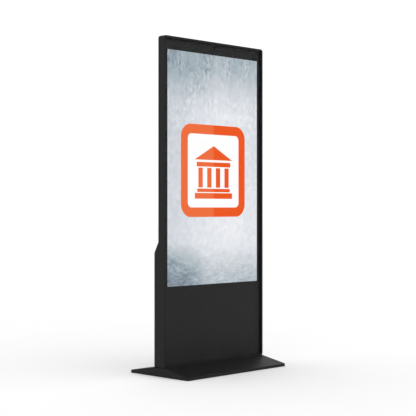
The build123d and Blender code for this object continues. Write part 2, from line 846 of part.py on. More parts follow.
with BuildPart() as rear_housing:
    add(housing_block(0))
    add(housing_block(sheet), mode=Mode.SUBTRACT)
    with BuildSketch(across(slab_back_y + sheet)):
        with Locations((0, lip_mid_z)):
            RectangleRounded(slab_width - sheet, lip_height - sheet, corner_radius - sheet / 2)
            Rectangle(slab_width - 2 * (sheet + housing_lip), lip_height - 2 * (sheet + housing_lip),
                      mode=Mode.SUBTRACT)
    extrude(amount=sheet)
    extrude(rectangle_at(housing_back_y, 0, door_mid_z, door_opening_width, door_opening_height,
                         door_corner_radius + door_gap), sheet, mode=Mode.SUBTRACT)
    for x in list(fan_xs.values()) + list(speaker_xs.values()):
        extrude(slotted_disc(housing_back_y, x, device_z, grille_radius), sheet, mode=Mode.SUBTRACT)
    extrude(rectangle_at(housing_back_y, port_x, port_z, port_window_width, port_window_height,
                         door_corner_radius), sheet, mode=Mode.SUBTRACT)
    extrude(circles_at(slab_back_y + sheet, housing_screw_points, screw_radius + screw_clearance),
            sheet, mode=Mode.SUBTRACT)
rear_housing.part.label = "rear_housing"
export_step(rear_housing.part, "parts/rear_housing.step")

# Foam strip between the slab's rear flange and the housing's lip.
with BuildPart() as housing_seal:
    with BuildSketch(across(slab_back_y)):
        add(slab_outline(slab_back_y, frame_wall + cover_gap))
        with Locations((0, slab_mid_z)):
            Rectangle(slab_width - 2 * (frame_wall + flange_width),
                      slab_height - 2 * (frame_wall + flange_width), mode=Mode.SUBTRACT)
        with Locations((0, cover_bottom - cover_gap + slab_height / 2)):
            Rectangle(slab_width, slab_height, mode=Mode.SUBTRACT)
        with Locations(*housing_screw_points):
            Circle(screw_radius + screw_clearance, mode=Mode.SUBTRACT)
    extrude(amount=sheet)
housing_seal.part.label = "housing_seal"
export_step(housing_seal.part, "parts/housing_seal.step")

with BuildPart() as housing_screws:
    add(socket_screws(housing_screw_points, slab_back_y + sheet,
                      2 * sheet + flange_thickness + upright_wall))
housing_screws.part.label = "housing_screws"
export_step(housing_screws.part, "parts/housing_screws.step")

# =====================================================================================
# Service door, its hinges and its lock
# =====================================================================================

# Welded seat behind the door's opening: a band on the housing and a lip that stops the door.
with BuildPart() as door_seat:
    extrude(rectangle_at(housing_inner_y, 0, door_mid_z,
                         door_opening_width + 2 * (sheet + door_seat_band),
                         door_opening_height + 2 * (sheet + door_seat_band)), door_seat_depth)
    extrude(rectangle_at(housing_inner_y, 0, door_mid_z,
                         door_opening_width + 2 * sheet, door_opening_height + 2 * sheet),
            door_seat_depth - sheet, mode=Mode.SUBTRACT)
    extrude(rectangle_at(housing_inner_y, 0, door_mid_z,
                         door_width - 2 * door_seat_lap, door_height - 2 * door_seat_lap),
            door_seat_depth, mode=Mode.SUBTRACT)
door_seat.part.label = "door_seat"
export_step(door_seat.part, "parts/door_seat.step")

with BuildPart() as service_door:
    extrude(rectangle_at(housing_back_y, 0, door_mid_z, door_width, door_height, door_corner_radius), sheet)
    fillet(service_door.faces().sort_by(Axis.Y)[-1].edges(), door_edge_radius)
    extrude(circles_at(housing_back_y, [(lock_x, door_mid_z)], lock_barrel_radius + screw_clearance),
            sheet, mode=Mode.SUBTRACT)
service_door.part.label = "service_door"
export_step(service_door.part, "parts/service_door.step")

gasket_thickness = housing_inner_y - seat_lip_back_y - gasket_clearance
with BuildPart() as door_gasket:
    extrude(rectangle_at(housing_inner_y, 0, door_mid_z, door_width - 2 * sheet, door_height - 2 * sheet),
            gasket_thickness)
    extrude(rectangle_at(housing_inner_y, 0, door_mid_z, door_width - 2 * (sheet + gasket_width),
                         door_height - 2 * (sheet + gasket_width)), gasket_thickness, mode=Mode.SUBTRACT)
door_gasket.part.label = "door_gasket"
export_step(door_gasket.part, "parts/door_gasket.step")

hinge_span = door_height - 2 * hinge_end_distance
hinge_step = hinge_span / (hinge_count - 1)
hinge_zs = [door_mid_z - hinge_span / 2 + step * hinge_step for step in range(hinge_count)]
knuckle_height = hinge_height / 3
barrel_reach = knuckle_radius + knuckle_gap


def hinge_half(side, knuckle_places, free_places, trim):
    """One leaf of every hinge: side -1 is fixed to the housing and 1 to the door."""
    with BuildPart() as half:
        for z in hinge_zs:
            leaf_x = hinge_x + side * hinge_leaf_width / 2
            extrude(rectangle_at(housing_back_y + hinge_leaf_thickness, leaf_x, z,
                                 hinge_leaf_width, hinge_height), hinge_leaf_thickness)
            for place in free_places:
                extrude(rectangle_at(housing_back_y + hinge_leaf_thickness,
                                     hinge_x, z + place * knuckle_height, 2 * barrel_reach,
                                     knuckle_height + 2 * knuckle_gap),
                        hinge_leaf_thickness, mode=Mode.SUBTRACT)
            for place in knuckle_places:
                with BuildSketch(Plane.XY.offset(z + (place - 0.5) * knuckle_height + trim)):
                    with Locations((hinge_x, hinge_y)):
                        Circle(knuckle_radius)
                extrude(amount=knuckle_height - 2 * trim)
            with BuildSketch(Plane.XY.offset(z - hinge_height / 2)):
                with Locations((hinge_x, hinge_y)):
                    Circle(pin_radius + running_clearance)
            extrude(amount=hinge_height, mode=Mode.SUBTRACT)
    return half.part


# Each knuckle is a third of the hinge; the middle one belongs to the door.
with BuildPart() as hinge_fixed_leaves:
    add(hinge_half(-1, (-1, 1), (0,), 0))
hinge_fixed_leaves.part.label = "hinge_fixed_leaves"
export_step(hinge_fixed_leaves.part, "parts/hinge_fixed_leaves.step")

with BuildPart() as hinge_moving_leaves:
    add(hinge_half(1, (0,), (-1, 1), knuckle_gap))
hinge_moving_leaves.part.label = "hinge_moving_leaves"
export_step(hinge_moving_leaves.part, "parts/hinge_moving_leaves.step")

with BuildPart() as hinge_pins:
    for z in hinge_zs:
        with BuildSketch(Plane.XY.offset(z - hinge_height / 2)):
            with Locations((hinge_x, hinge_y)):
                Circle(pin_radius)
        extrude(amount=hinge_height)
        with BuildSketch(Plane.XY.offset(z + hinge_height / 2)):
            with Locations((hinge_x, hinge_y)):
                Circle(knuckle_radius)
        extrude(amount=sheet)
hinge_pins.part.label = "hinge_pins"
export_step(hinge_pins.part, "parts/hinge_pins.step")

lock_point = [(lock_x, door_mid_z)]
barrel_front_y = cam_back_y + cam_gap
barrel_back_y = housing_back_y + lock_flange_thickness
with BuildPart() as lock_barrel:
    extrude(circles_at(barrel_back_y, lock_point, lock_barrel_radius), barrel_back_y - barrel_front_y)
    extrude(circles_at(barrel_back_y, lock_point, lock_flange_radius), lock_flange_thickness)
    fillet(lock_barrel.faces().sort_by(Axis.Y)[-1].edges(), lock_flange_thickness / 3)
    extrude(circles_at(barrel_back_y, lock_point, lock_plug_radius + running_clearance),
            barrel_back_y - barrel_front_y, mode=Mode.SUBTRACT)
lock_barrel.part.label = "lock_barrel"
export_step(lock_barrel.part, "parts/lock_barrel.step")

with BuildPart() as lock_nut:
    with BuildSketch(across(housing_inner_y)):
        with Locations((lock_x, door_mid_z)):
            RegularPolygon(lock_nut_radius, 6)
            Circle(lock_barrel_radius + thread_clearance, mode=Mode.SUBTRACT)
    extrude(amount=lock_nut_height)
lock_nut.part.label = "lock_nut"
export_step(lock_nut.part, "parts/lock_nut.step")

with BuildPart() as lock_plug:
    extrude(circles_at(barrel_back_y, lock_point, lock_plug_radius),
            barrel_back_y - cam_back_y + cam_thickness)
    extrude(rectangle_at(barrel_back_y, lock_x, door_mid_z, key_slot_width, key_slot_height),
            key_slot_depth, mode=Mode.SUBTRACT)
    extrude(circles_at(cam_back_y - cam_thickness, lock_point, cam_screw_radius), cam_thickness)
lock_plug.part.label = "lock_plug"
export_step(lock_plug.part, "parts/lock_plug.step")

# The cam points up when the door is free, and a quarter turn puts it behind the seat's lip.
with BuildPart() as lock_cam:
    with BuildSketch(across(cam_back_y)):
        with Locations((lock_x, door_mid_z)):
            Circle(cam_width / 2 + cam_thickness)
        with Locations((lock_x, door_mid_z + cam_reach / 2)):
            RectangleRounded(cam_width, cam_reach, cam_thickness)
        with Locations((lock_x, door_mid_z)):
            Circle(lock_plug_radius + thread_clearance, mode=Mode.SUBTRACT)
    extrude(amount=cam_thickness)
lock_cam.part.label = "lock_cam"
export_step(lock_cam.part, "parts/lock_cam.step")

# =====================================================================================
# Cooling fans and loudspeakers behind the grilles
# =====================================================================================

fan_front_y = housing_inner_y - fan_depth
fan_motor_radius = fan_hub_radius - fan_tip_gap
rotor_front_y = fan_front_y + fan_plate_thickness + fan_gap
rotor_length = fan_depth - fan_plate_thickness - 2 * fan_gap
rotor_radius = fan_bore_radius - fan_tip_gap
fan_points = [(x, device_z) for x in fan_xs.values()]
with BuildPart() as fan_frames:
    with BuildSketch(across(housing_inner_y)):
        with Locations(*fan_points):
            RectangleRounded(fan_size, fan_size, door_corner_radius)
    extrude(amount=fan_depth)
    extrude(circles_at(housing_inner_y, fan_points, fan_bore_radius), fan_depth, mode=Mode.SUBTRACT)
    with BuildSketch(across(fan_front_y + fan_plate_thickness)):
        with Locations(*fan_points):
            Rectangle(fan_size - 2 * fan_gap, fan_spoke_width)
            Rectangle(fan_spoke_width, fan_size - 2 * fan_gap)
            Circle(fan_motor_radius)
            Circle(fan_shaft_radius + running_clearance, mode=Mode.SUBTRACT)
    extrude(amount=fan_plate_thickness)
fan_frames.part.label = "fan_frames"
export_step(fan_frames.part, "parts/fan_frames.step")

blade_length = rotor_radius - fan_hub_radius + fan_tip_gap
blade_middle = rotor_radius - blade_length / 2
for hand, x in fan_xs.items():
    with BuildPart() as fan_rotor:
        extrude(circles_at(rotor_front_y + rotor_length, [(x, device_z)], fan_hub_radius), rotor_length)
        fillet(fan_rotor.faces().sort_by(Axis.Y)[-1].edges(), fan_gap)
        extrude(circles_at(rotor_front_y, [(x, device_z)], fan_shaft_radius),
                rotor_front_y - fan_front_y)
        with Locations(across(rotor_front_y + rotor_length / 2)):
            with Locations((x, device_z)):
                with PolarLocations(blade_middle, fan_blade_count):
                    Box(blade_length, fan_blade_chord, fan_blade_thickness, rotation=(fan_blade_pitch, 0, 0))
    fan_rotor.part.label = f"{hand}_fan_rotor"
    export_step(fan_rotor.part, f"parts/{hand}_fan_rotor.step")

for hand, x in speaker_xs.items():
    basket_plane = Plane(origin=(x, housing_inner_y, device_z), x_dir=(1, 0, 0), z_dir=(0, 0, 1))
    with BuildPart() as speaker:
        with BuildSketch(basket_plane):
            with BuildLine():
                Polyline(
                    (0, -speaker_depth),
                    (speaker_magnet_radius, -speaker_depth),
                    (speaker_magnet_radius, -speaker_basket),
                    (speaker_cone_radius, -speaker_flange),
                    (speaker_radius, -speaker_flange),
                    (speaker_radius, 0),
                    (speaker_cone_radius, 0),
                    (speaker_dome_radius, -speaker_basket + speaker_flange),
                    (0, -speaker_basket + speaker_flange),
                    close=True,
                )
            make_face()
        revolve(axis=Axis((x, housing_inner_y, device_z), (0, 1, 0)))
    speaker.part.label = f"{hand}_speaker"
    export_step(speaker.part, f"parts/{hand}_speaker.step")

# =====================================================================================
# Connection plate: mains inlet, rocker switch and network socket
# =====================================================================================

with BuildPart() as port_plate:
    extrude(rectangle_at(housing_inner_y, port_x, port_z, port_window_width + 2 * port_plate_margin,
                         port_window_height + 2 * port_plate_margin), sheet)
    for x, width, height in ((inlet_x, inlet_width, inlet_height),
                             (switch_x, switch_width, switch_height),
                             (jack_x, jack_width, jack_height)):
        extrude(rectangle_at(housing_inner_y, port_x + x, port_z, width + 2 * port_fit,
                             height + 2 * port_fit), sheet, mode=Mode.SUBTRACT)
port_plate.part.label = "port_plate"
export_step(port_plate.part, "parts/port_plate.step")

inlet_mouth_y = housing_inner_y + sheet
with BuildPart() as power_inlet:
    extrude(rectangle_at(inlet_mouth_y, port_x + inlet_x, port_z, inlet_width, inlet_height), inlet_depth)
    extrude(rectangle_at(inlet_mouth_y, port_x + inlet_x, port_z, inlet_width + 2 * inlet_flange,
                         inlet_height + 2 * inlet_flange, inlet_flange), sheet)
    extrude(rectangle_at(inlet_mouth_y, port_x + inlet_x, port_z, inlet_width - 2 * inlet_wall,
                         inlet_height - 2 * inlet_wall), inlet_cavity, mode=Mode.SUBTRACT)
    for x, z in ((-inlet_pin_spread, -inlet_pin_rise),
                 (inlet_pin_spread, -inlet_pin_rise),
                 (0, inlet_pin_rise)):
        extrude(rectangle_at(inlet_mouth_y - inlet_cavity + inlet_pin_length, port_x + inlet_x + x,
                             port_z + z, inlet_pin_width, inlet_pin_height), inlet_pin_length)
power_inlet.part.label = "power_inlet"
export_step(power_inlet.part, "parts/power_inlet.step")

switch_centre_x = port_x + switch_x
with BuildPart() as power_switch:
    extrude(rectangle_at(inlet_mouth_y, switch_centre_x, port_z, switch_width, switch_height), switch_depth)
    extrude(rectangle_at(inlet_mouth_y, switch_centre_x, port_z, switch_width + 2 * switch_flange,
                         switch_height + 2 * switch_flange, smallest_radius), sheet)
    extrude(rectangle_at(inlet_mouth_y, switch_centre_x, port_z, switch_width - 2 * switch_wall,
                         switch_height - 2 * switch_wall), switch_depth - switch_wall, mode=Mode.SUBTRACT)
    with BuildSketch(Plane.YZ.offset(switch_centre_x)):
        with Locations((inlet_mouth_y - sheet, port_z)):
            Circle(rocker_pin_radius + running_clearance)
    extrude(amount=switch_width, both=True, mode=Mode.SUBTRACT)
power_switch.part.label = "power_switch"
export_step(power_switch.part, "parts/power_switch.step")

# The rocker rests with its lower end out; its two faces meet at twice the tilt.
rocker_plane = Plane(origin=(switch_centre_x, inlet_mouth_y - sheet, port_z),
                     x_dir=(0, cos(radians(rocker_tilt)), sin(radians(rocker_tilt))), z_dir=(1, 0, 0))
rocker_width = switch_width - 2 * switch_wall - 2 * rocker_clearance
with BuildPart() as switch_rocker:
    with BuildSketch(rocker_plane):
        Circle(rocker_radius)
        with BuildLine():
            Polyline(
                (-rocker_belly, -rocker_radius),
                (rocker_waist + rocker_radius * tan(radians(rocker_tilt)), -rocker_radius),
                (rocker_waist, 0),
                (rocker_waist + rocker_radius * tan(radians(rocker_tilt)), rocker_radius),
                (-rocker_belly, rocker_radius),
                close=True,
            )
        make_face(mode=Mode.INTERSECT)
    extrude(amount=rocker_width / 2, both=True)
    with BuildSketch(rocker_plane):
        Circle(rocker_pin_radius)
    extrude(amount=switch_width / 2, both=True)
switch_rocker.part.label = "switch_rocker"
export_step(switch_rocker.part, "parts/switch_rocker.step")

with BuildPart() as network_socket:
    extrude(rectangle_at(inlet_mouth_y, port_x + jack_x, port_z, jack_width, jack_height), jack_depth)
    extrude(rectangle_at(inlet_mouth_y, port_x + jack_x, port_z, jack_width + 2 * jack_flange,
                         jack_height + 2 * jack_flange, smallest_radius), sheet)
    extrude(rectangle_at(inlet_mouth_y, port_x + jack_x, port_z, jack_cavity_width, jack_cavity_height),
            jack_cavity_depth, mode=Mode.SUBTRACT)
network_socket.part.label = "network_socket"
export_step(network_socket.part, "parts/network_socket.step")

# =====================================================================================
# Equipment plate and the devices on it
# =====================================================================================

equipment_height = equipment_top - equipment_bottom
equipment_mid_z = (equipment_top + equipment_bottom) / 2
player_x = (supply_x - supply_width / 2 - upright_inner_x) / 2
player_z = equipment_top - player_drop
supply_z = player_z
board_x = supply_x + supply_width / 2 + board_gap + board_width / 2
board_z = equipment_top - board_drop
controller_z = equipment_top - controller_drop
filter_z = equipment_top - filter_drop


def corner_points(x, z, width, height):
    """The four standoff places of a device."""
    return [(x + i * (width / 2 - standoff_inset), z + j * (height / 2 - standoff_inset))
            for i in (-1, 1) for j in (-1, 1)]


with BuildPart() as equipment_plate:
    extrude(rectangle_at(equipment_back_y, 0, equipment_mid_z, 2 * upright_inner_x, equipment_height), sheet)
    for side in (-1, 1):
        extrude(rectangle_at(equipment_back_y + equipment_flange, side * (upright_inner_x - sheet / 2),
                             equipment_mid_z, sheet, equipment_height), equipment_flange)
equipment_plate.part.label = "equipment_plate"
export_step(equipment_plate.part, "parts/equipment_plate.step")

standoff_points = (corner_points(player_x, player_z, player_width, player_height)
                   + corner_points(supply_x, supply_z, supply_width, supply_height)
                   + corner_points(board_x, board_z, board_width, board_height)
                   + corner_points(board_x, controller_z, controller_width, controller_height))
with BuildPart() as standoffs:
    extrude(circles_at(device_back_y, standoff_points, standoff_radius), standoff_height)
standoffs.part.label = "standoffs"
export_step(standoffs.part, "parts/standoffs.step")

player_back_y = device_back_y + player_depth
fin_pitch = fin_gap + fin_depth
player_button_point = [(player_x + player_width / 2 - standoff_inset - player_button_radius,
                        player_z + player_button_offset)]
button_front_y = player_back_y + player_button_travel - player_button_height
with BuildPart() as media_player:
    extrude(rectangle_at(player_back_y, player_x, player_z, player_width, player_height, standoff_radius),
            player_depth)
    with BuildSketch(across(player_back_y)):
        with Locations((player_x - fin_gap - standoff_inset, player_z)):
            with GridLocations(fin_pitch, 1, fin_count - 1, 1):
                Rectangle(fin_gap, player_height - 2 * standoff_inset)
    extrude(amount=fin_depth, mode=Mode.SUBTRACT)
    with BuildSketch(Plane.XY.offset(player_z - player_height / 2)):
        with Locations((player_x, device_back_y + player_depth / 2)):
            with GridLocations(player_port_width, 1, 2, 1):
                Rectangle(player_port_width - fin_gap, player_port_height)
    extrude(amount=player_port_depth, mode=Mode.SUBTRACT)
    extrude(circles_at(player_back_y, player_button_point, player_button_radius + running_clearance),
            player_button_height + player_button_travel, mode=Mode.SUBTRACT)
media_player.part.label = "media_player"
export_step(media_player.part, "parts/media_player.step")

with BuildPart() as player_button:
    extrude(circles_at(button_front_y + player_button_height, player_button_point, player_button_radius),
            player_button_height)
    fillet(player_button.faces().sort_by(Axis.Y)[-1].edges(), smallest_radius / 2)
player_button.part.label = "player_button"
export_step(player_button.part, "parts/player_button.step")

with BuildPart() as power_supply:
    extrude(rectangle_at(device_back_y + supply_depth, supply_x, supply_z, supply_width, supply_height),
            supply_depth)
    with BuildSketch(across(device_back_y + supply_depth)):
        with Locations((supply_x, supply_z)):
            with GridLocations(supply_hole_pitch, supply_hole_pitch, supply_hole_columns, supply_hole_rows):
                Circle(supply_hole_radius)
    extrude(amount=supply_hole_depth, mode=Mode.SUBTRACT)
    terminal_x = supply_x + (supply_width - terminal_width) / 2
    extrude(rectangle_at(device_back_y + supply_depth, terminal_x, supply_z, terminal_width, supply_height),
            terminal_step, mode=Mode.SUBTRACT)
power_supply.part.label = "power_supply"
export_step(power_supply.part, "parts/power_supply.step")

terminal_seat_y = device_back_y + supply_depth - terminal_step
with BuildPart() as terminal_block:
    extrude(rectangle_at(terminal_seat_y + terminal_step - supply_hole_depth, terminal_x, supply_z,
                         terminal_width - 2 * supply_hole_depth, terminal_height),
            terminal_step - supply_hole_depth)
    with BuildSketch(across(terminal_seat_y + terminal_step - supply_hole_depth)):
        with Locations((terminal_x, supply_z)):
            with GridLocations(1, terminal_height / terminal_count, 1, terminal_count):
                Circle(standoff_radius)
    extrude(amount=terminal_well_depth, mode=Mode.SUBTRACT)
terminal_block.part.label = "terminal_block"
export_step(terminal_block.part, "parts/terminal_block.step")

boards = {
    "display_board": (board_z, board_width, board_height, display_chip_size, display_header_length),
    "touch_controller": (controller_z, controller_width, controller_height, touch_chip_size,
                         touch_header_length),
}
for label, (z, width, height, chip_size, header_length) in boards.items():
    board_back_y = device_back_y + board_thickness
    header_x = board_x + width / 2 - header_edge
    with BuildPart() as board:
        extrude(rectangle_at(board_back_y, board_x, z, width, height), board_thickness)
        extrude(rectangle_at(board_back_y + chip_height, board_x - chip_shift, z, chip_size, chip_size),
                chip_height)
        extrude(rectangle_at(board_back_y + header_height, header_x, z, header_width, header_length),
                header_height)
    board.part.label = label
    export_step(board.part, f"parts/{label}.step")

with BuildPart() as line_filter:
    extrude(rectangle_at(equipment_back_y + filter_depth, supply_x, filter_z, filter_width, filter_height,
                         standoff_radius), filter_depth)
    extrude(rectangle_at(equipment_back_y + sheet, supply_x, filter_z, filter_width + 4 * standoff_inset,
                         2 * standoff_inset), sheet)
line_filter.part.label = "line_filter"
export_step(line_filter.part, "parts/line_filter.step")
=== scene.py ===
import bmesh
import bpy
from math import pi, radians
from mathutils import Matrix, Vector


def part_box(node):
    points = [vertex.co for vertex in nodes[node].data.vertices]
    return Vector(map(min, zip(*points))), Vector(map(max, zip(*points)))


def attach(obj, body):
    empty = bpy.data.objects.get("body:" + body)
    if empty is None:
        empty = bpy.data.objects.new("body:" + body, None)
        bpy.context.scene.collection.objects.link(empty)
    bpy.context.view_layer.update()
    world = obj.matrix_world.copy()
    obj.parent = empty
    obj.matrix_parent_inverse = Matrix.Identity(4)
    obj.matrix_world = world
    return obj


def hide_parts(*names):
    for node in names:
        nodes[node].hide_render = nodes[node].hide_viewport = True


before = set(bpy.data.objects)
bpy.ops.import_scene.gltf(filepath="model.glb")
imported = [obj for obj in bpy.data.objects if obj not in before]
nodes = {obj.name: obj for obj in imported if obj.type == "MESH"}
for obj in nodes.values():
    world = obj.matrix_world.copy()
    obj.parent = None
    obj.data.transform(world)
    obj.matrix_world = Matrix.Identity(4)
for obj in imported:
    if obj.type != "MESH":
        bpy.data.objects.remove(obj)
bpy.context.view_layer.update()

bpy.context.scene.view_settings.view_transform = "Standard"


# ---------------------------------------------------------------------------------------
# Base plate, foot brackets, uprights and cross members: the load-bearing frame. Laser-cut plate,
# folded brackets and welded tube, zinc-plated and passivated clear or black, bolted together.
# The small plates, standoffs and pins that are fixed to it have the clear finish too.
# ---------------------------------------------------------------------------------------

class Value:
    """A shader socket that works in sums, as a number does."""

    def __init__(self, socket):
        self.socket = socket

    def node(self, kind, settings, inputs, output=0):
        """Adds a node: its settings first, then the values or links of its sockets."""
        tree = self.socket.id_data
        made = tree.nodes.new(kind)
        for name, setting in settings.items():
            if name == "stops":
                ramp = made.color_ramp.elements
                while len(ramp) < len(setting):
                    ramp.new(1.0)
                for element, (place, colour) in zip(ramp, setting):
                    element.position = place
                    element.color = (*colour, 1.0)
            else:
                setattr(made, name, setting)
        for name, value in inputs.items():
            if isinstance(value, Value):
                tree.links.new(value.socket, made.inputs[name])
            else:
                made.inputs[name].default_value = value
        return Value(made.outputs[output])

    def maths(self, operation, *values):
        return self.node("ShaderNodeMath", {"operation": operation}, dict(enumerate(values)))

    def __add__(self, other):
        return self.maths("ADD", self, other)

    def __sub__(self, other):
        return self.maths("SUBTRACT", self, other)

    def __rsub__(self, other):
        return self.maths("SUBTRACT", other, self)

    def __mul__(self, other):
        return self.maths("MULTIPLY", self, other)

    def __truediv__(self, other):
        return self.maths("DIVIDE", self, other)

    def __abs__(self):
        return self.maths("ABSOLUTE", self)

    __radd__ = __add__
    __rmul__ = __mul__

    def larger(self, other):
        return self.maths("MAXIMUM", self, other)

    def axis(self, letter):
        """One coordinate of a place."""
        return self.node("ShaderNodeSeparateXYZ", {}, {"Vector": self}, letter)

    def noise(self, scale, detail=3.0, stretch=(1.0, 1.0, 1.0), roughness=0.5, turn=0.0):
        """Noise at this place, from 0 to 1, with scale features to the metre."""
        place = self.node("ShaderNodeMapping", {}, {"Vector": self, "Rotation": (0.0, turn, 0.0)})
        place = place.node("ShaderNodeMapping", {}, {"Vector": place, "Scale": stretch})
        return place.node("ShaderNodeTexNoise", {},
                          {"Vector": place, "Scale": scale, "Detail": detail, "Roughness": roughness})

    def step(self, low, high, start=0.0, end=1.0):
        """A smooth rise from start to end as this value goes from low to high."""
        return self.node("ShaderNodeMapRange", {"interpolation_type": "SMOOTHSTEP"},
                         {"Value": self, "From Min": low, "From Max": high, "To Min": start, "To Max": end})

    def ramp(self, *stops):
        """A colour ramp over this value."""
        return self.node("ShaderNodeValToRGB", {"stops": stops}, {"Fac": self})

    def mix(self, first, second):
        """Between two colours, by this value."""
        first, second = [c if isinstance(c, Value) else (*c, 1.0) for c in (first, second)]
        return self.node("ShaderNodeMix", {"data_type": "RGBA"}, {0: self, 6: first, 7: second}, 2)

    def bump(self, height, strength=1.0):
        """A surface normal from this relief, whose full height is in metres."""
        return self.node("ShaderNodeBump", {}, {"Height": self, "Distance": height, "Strength": strength})

    def feed(self, shader, name):
        self.socket.id_data.links.new(self.socket, shader.inputs[name])


def new_finish(name, constants):
    """A new material with its fixed numbers set: the material, its shader and its coordinates."""
    material = bpy.data.materials.new(name)
    material.use_nodes = True
    shader = material.node_tree.nodes["Principled BSDF"]
    for socket, value in constants.items():
        shader.inputs[socket].default_value = value
    place = material.node_tree.nodes.new("ShaderNodeTexCoord")
    return material, shader, Value(place.outputs["Object"])


def paint(material, *names):
    """Gives CAD nodes a finish."""
    for name in names:
        mesh = nodes[name].data
        mesh.materials.clear()
        mesh.materials.append(material)


zinc, shader, place = new_finish("zinc_plate", {"Metallic": 1.0})
rolled = place.noise(9.0, 4.0, (14.0, 1.0, 1.0))
blush = place.noise(5.0, 3.0)
(blush * 0.7 + rolled * 0.3).ramp((0.3, (0.36, 0.38, 0.41)), (0.5, (0.47, 0.48, 0.50)),
                                  (0.7, (0.55, 0.54, 0.51))).feed(shader, "Base Color")
(place.noise(220.0, 3.0) * 0.5 + rolled * 0.5).step(0.3, 0.7, 0.28, 0.46).feed(shader, "Roughness")
place.noise(900.0, 2.0, (6.0, 1.0, 1.0)).bump(0.00004, 0.5).feed(shader, "Normal")
paint(zinc, "base_plate", "foot_bolts", "upright_bolts", "port_plate", "camera_bracket", "equipment_plate",
      "standoffs", "hinge_pins", "panel_screws")

black_zinc, shader, place = new_finish("black_zinc", {"Metallic": 1.0})
place.noise(6.0, 4.0).mix((0.030, 0.031, 0.033), (0.052, 0.052, 0.052)).feed(shader, "Base Color")
place.noise(120.0, 3.0).step(0.3, 0.7, 0.45, 0.62).feed(shader, "Roughness")
place.noise(900.0, 2.0).bump(0.00004, 0.4).feed(shader, "Normal")
paint(black_zinc, "left_foot_bracket", "right_foot_bracket", "left_upright", "right_upright",
      "cross_members", "cover_screws")


# ---------------------------------------------------------------------------------------
# Rubber feet, door gasket, glass tape and housing seal. The feet are moulded rubber glued to
# the plate; the seals are die-cut closed-cell foam with adhesive on one side.
# ---------------------------------------------------------------------------------------

rubber, shader, place = new_finish("moulded_rubber", {"Specular IOR Level": 0.25})
place.noise(40.0, 4.0).mix((0.014, 0.014, 0.014), (0.028, 0.028, 0.027)).feed(shader, "Base Color")
place.noise(300.0, 3.0).step(0.3, 0.7, 0.72, 0.92).feed(shader, "Roughness")
place.noise(1500.0, 3.0).bump(0.0001, 0.6).feed(shader, "Normal")
paint(rubber, "foot_pads")

foam, shader, place = new_finish("closed_cell_foam", {"Specular IOR Level": 0.1})
pores = place.node("ShaderNodeTexVoronoi", {"feature": "SMOOTH_F1"}, {"Vector": place, "Scale": 900.0})
pores.mix((0.008, 0.008, 0.008), (0.030, 0.030, 0.030)).feed(shader, "Base Color")
pores.step(0.2, 0.8, 0.85, 0.98).feed(shader, "Roughness")
pores.bump(0.0003, 0.7).feed(shader, "Normal")
paint(foam, "door_gasket", "glass_tape", "housing_seal")


# ---------------------------------------------------------------------------------------
# Backlight: a folded tray of black-passivated zinc sheet with strips of light-emitting diodes
# under an opal plate. The black bezel clips round the tray and holds the cell down.
# ---------------------------------------------------------------------------------------

diode_pitch = 0.045
diode_size = 0.0035
paint(black_zinc, "backlight_tray")

strip, shader, place = new_finish("diode_strip", {"Specular IOR Level": 0.4})
strip_x = place.axis("X") / diode_pitch
from_diode = abs(strip_x.maths("FRACT", strip_x) - 0.5) * diode_pitch
diode = from_diode.step(diode_size / 2, diode_size / 2 - 0.0002)
tin = (abs(from_diode - diode_size) - 0.0008).step(0.0001, -0.0001)
tin.mix(diode.mix((0.80, 0.81, 0.78), (0.82, 0.62, 0.12)), (0.45, 0.45, 0.46)).feed(shader, "Base Color")
place.noise(300.0, 2.0).step(0.3, 0.7, 0.35, 0.5).feed(shader, "Roughness")
paint(strip, "led_bars")

opal, shader, place = new_finish("opal_acrylic", {"Specular IOR Level": 0.4})
place.noise(12.0, 3.0).mix((0.82, 0.83, 0.82), (0.87, 0.87, 0.86)).feed(shader, "Base Color")
place.noise(700.0, 2.0).step(0.3, 0.7, 0.45, 0.6).feed(shader, "Roughness")
paint(opal, "diffuser_plate")

panel_black, shader, place = new_finish("panel_black", {"Specular IOR Level": 0.15})
place.noise(20.0, 3.0).mix((0.006, 0.006, 0.006), (0.010, 0.010, 0.010)).feed(shader, "Base Color")
place.noise(800.0, 2.0).step(0.3, 0.7, 0.5, 0.65).feed(shader, "Roughness")
paint(panel_black, "panel_bezel")


# ---------------------------------------------------------------------------------------
# Liquid-crystal cell, lit from behind. It shows a resting picture: a trowelled plaster wall,
# damp at its head and foot, with a museum sign in orange and white.
# ---------------------------------------------------------------------------------------

cell_low, cell_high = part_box("lcd_cell")
cell_height = cell_high.z - cell_low.z

screen, shader, place = new_finish("lit_screen", {"Base Color": (0.002, 0.002, 0.002, 1.0), "Roughness": 0.4,
                                                  "Specular IOR Level": 0.08, "Emission Strength": 1.0})
x = place.axis("X")
z = place.axis("Z")
height = (z - cell_low.z) / cell_height

damp_top = height.step(0.71, 1.01)
damp_bottom = height.step(0.21, -0.06)
# The stained corner: how far left of the screen's middle and up from its foot, and its half sizes.
corner_left, corner_half_width = 0.36, 0.34
corner_up, corner_half_height = 0.06, 0.125
corner_x = (x + corner_left) / corner_half_width
corner_z = (height - corner_up) / corner_half_height
strokes = place.noise(1.0, 5.0, (9.0, 1.0, 42.0), 0.6, -0.42) - 0.5
corner = (corner_x * corner_x + corner_z * corner_z + strokes * 1.6).step(1.15, 0.15)
left_side = x.step(0.06, -0.36)
right_side = x.step(0.18, 0.36)
clouds = place.noise(5.0, 4.0) - 0.5
patches = place.noise(1.0, 3.0, (7.0, 1.0, 5.0), 0.6).step(0.38, 0.66)
runs = place.noise(1.0, 4.0, (17.0, 1.0, 4.5), 0.6) - 0.5
flecks = place.noise(1.0, 4.0, (62.0, 1.0, 30.0), 0.65) - 0.5
trowel = place.noise(1.0, 5.0, (6.0, 1.0, 34.0), 0.6, 0.16) - 0.5
trowel_fine = place.noise(1.0, 4.0, (22.0, 1.0, 120.0), 0.65, 0.10) - 0.5
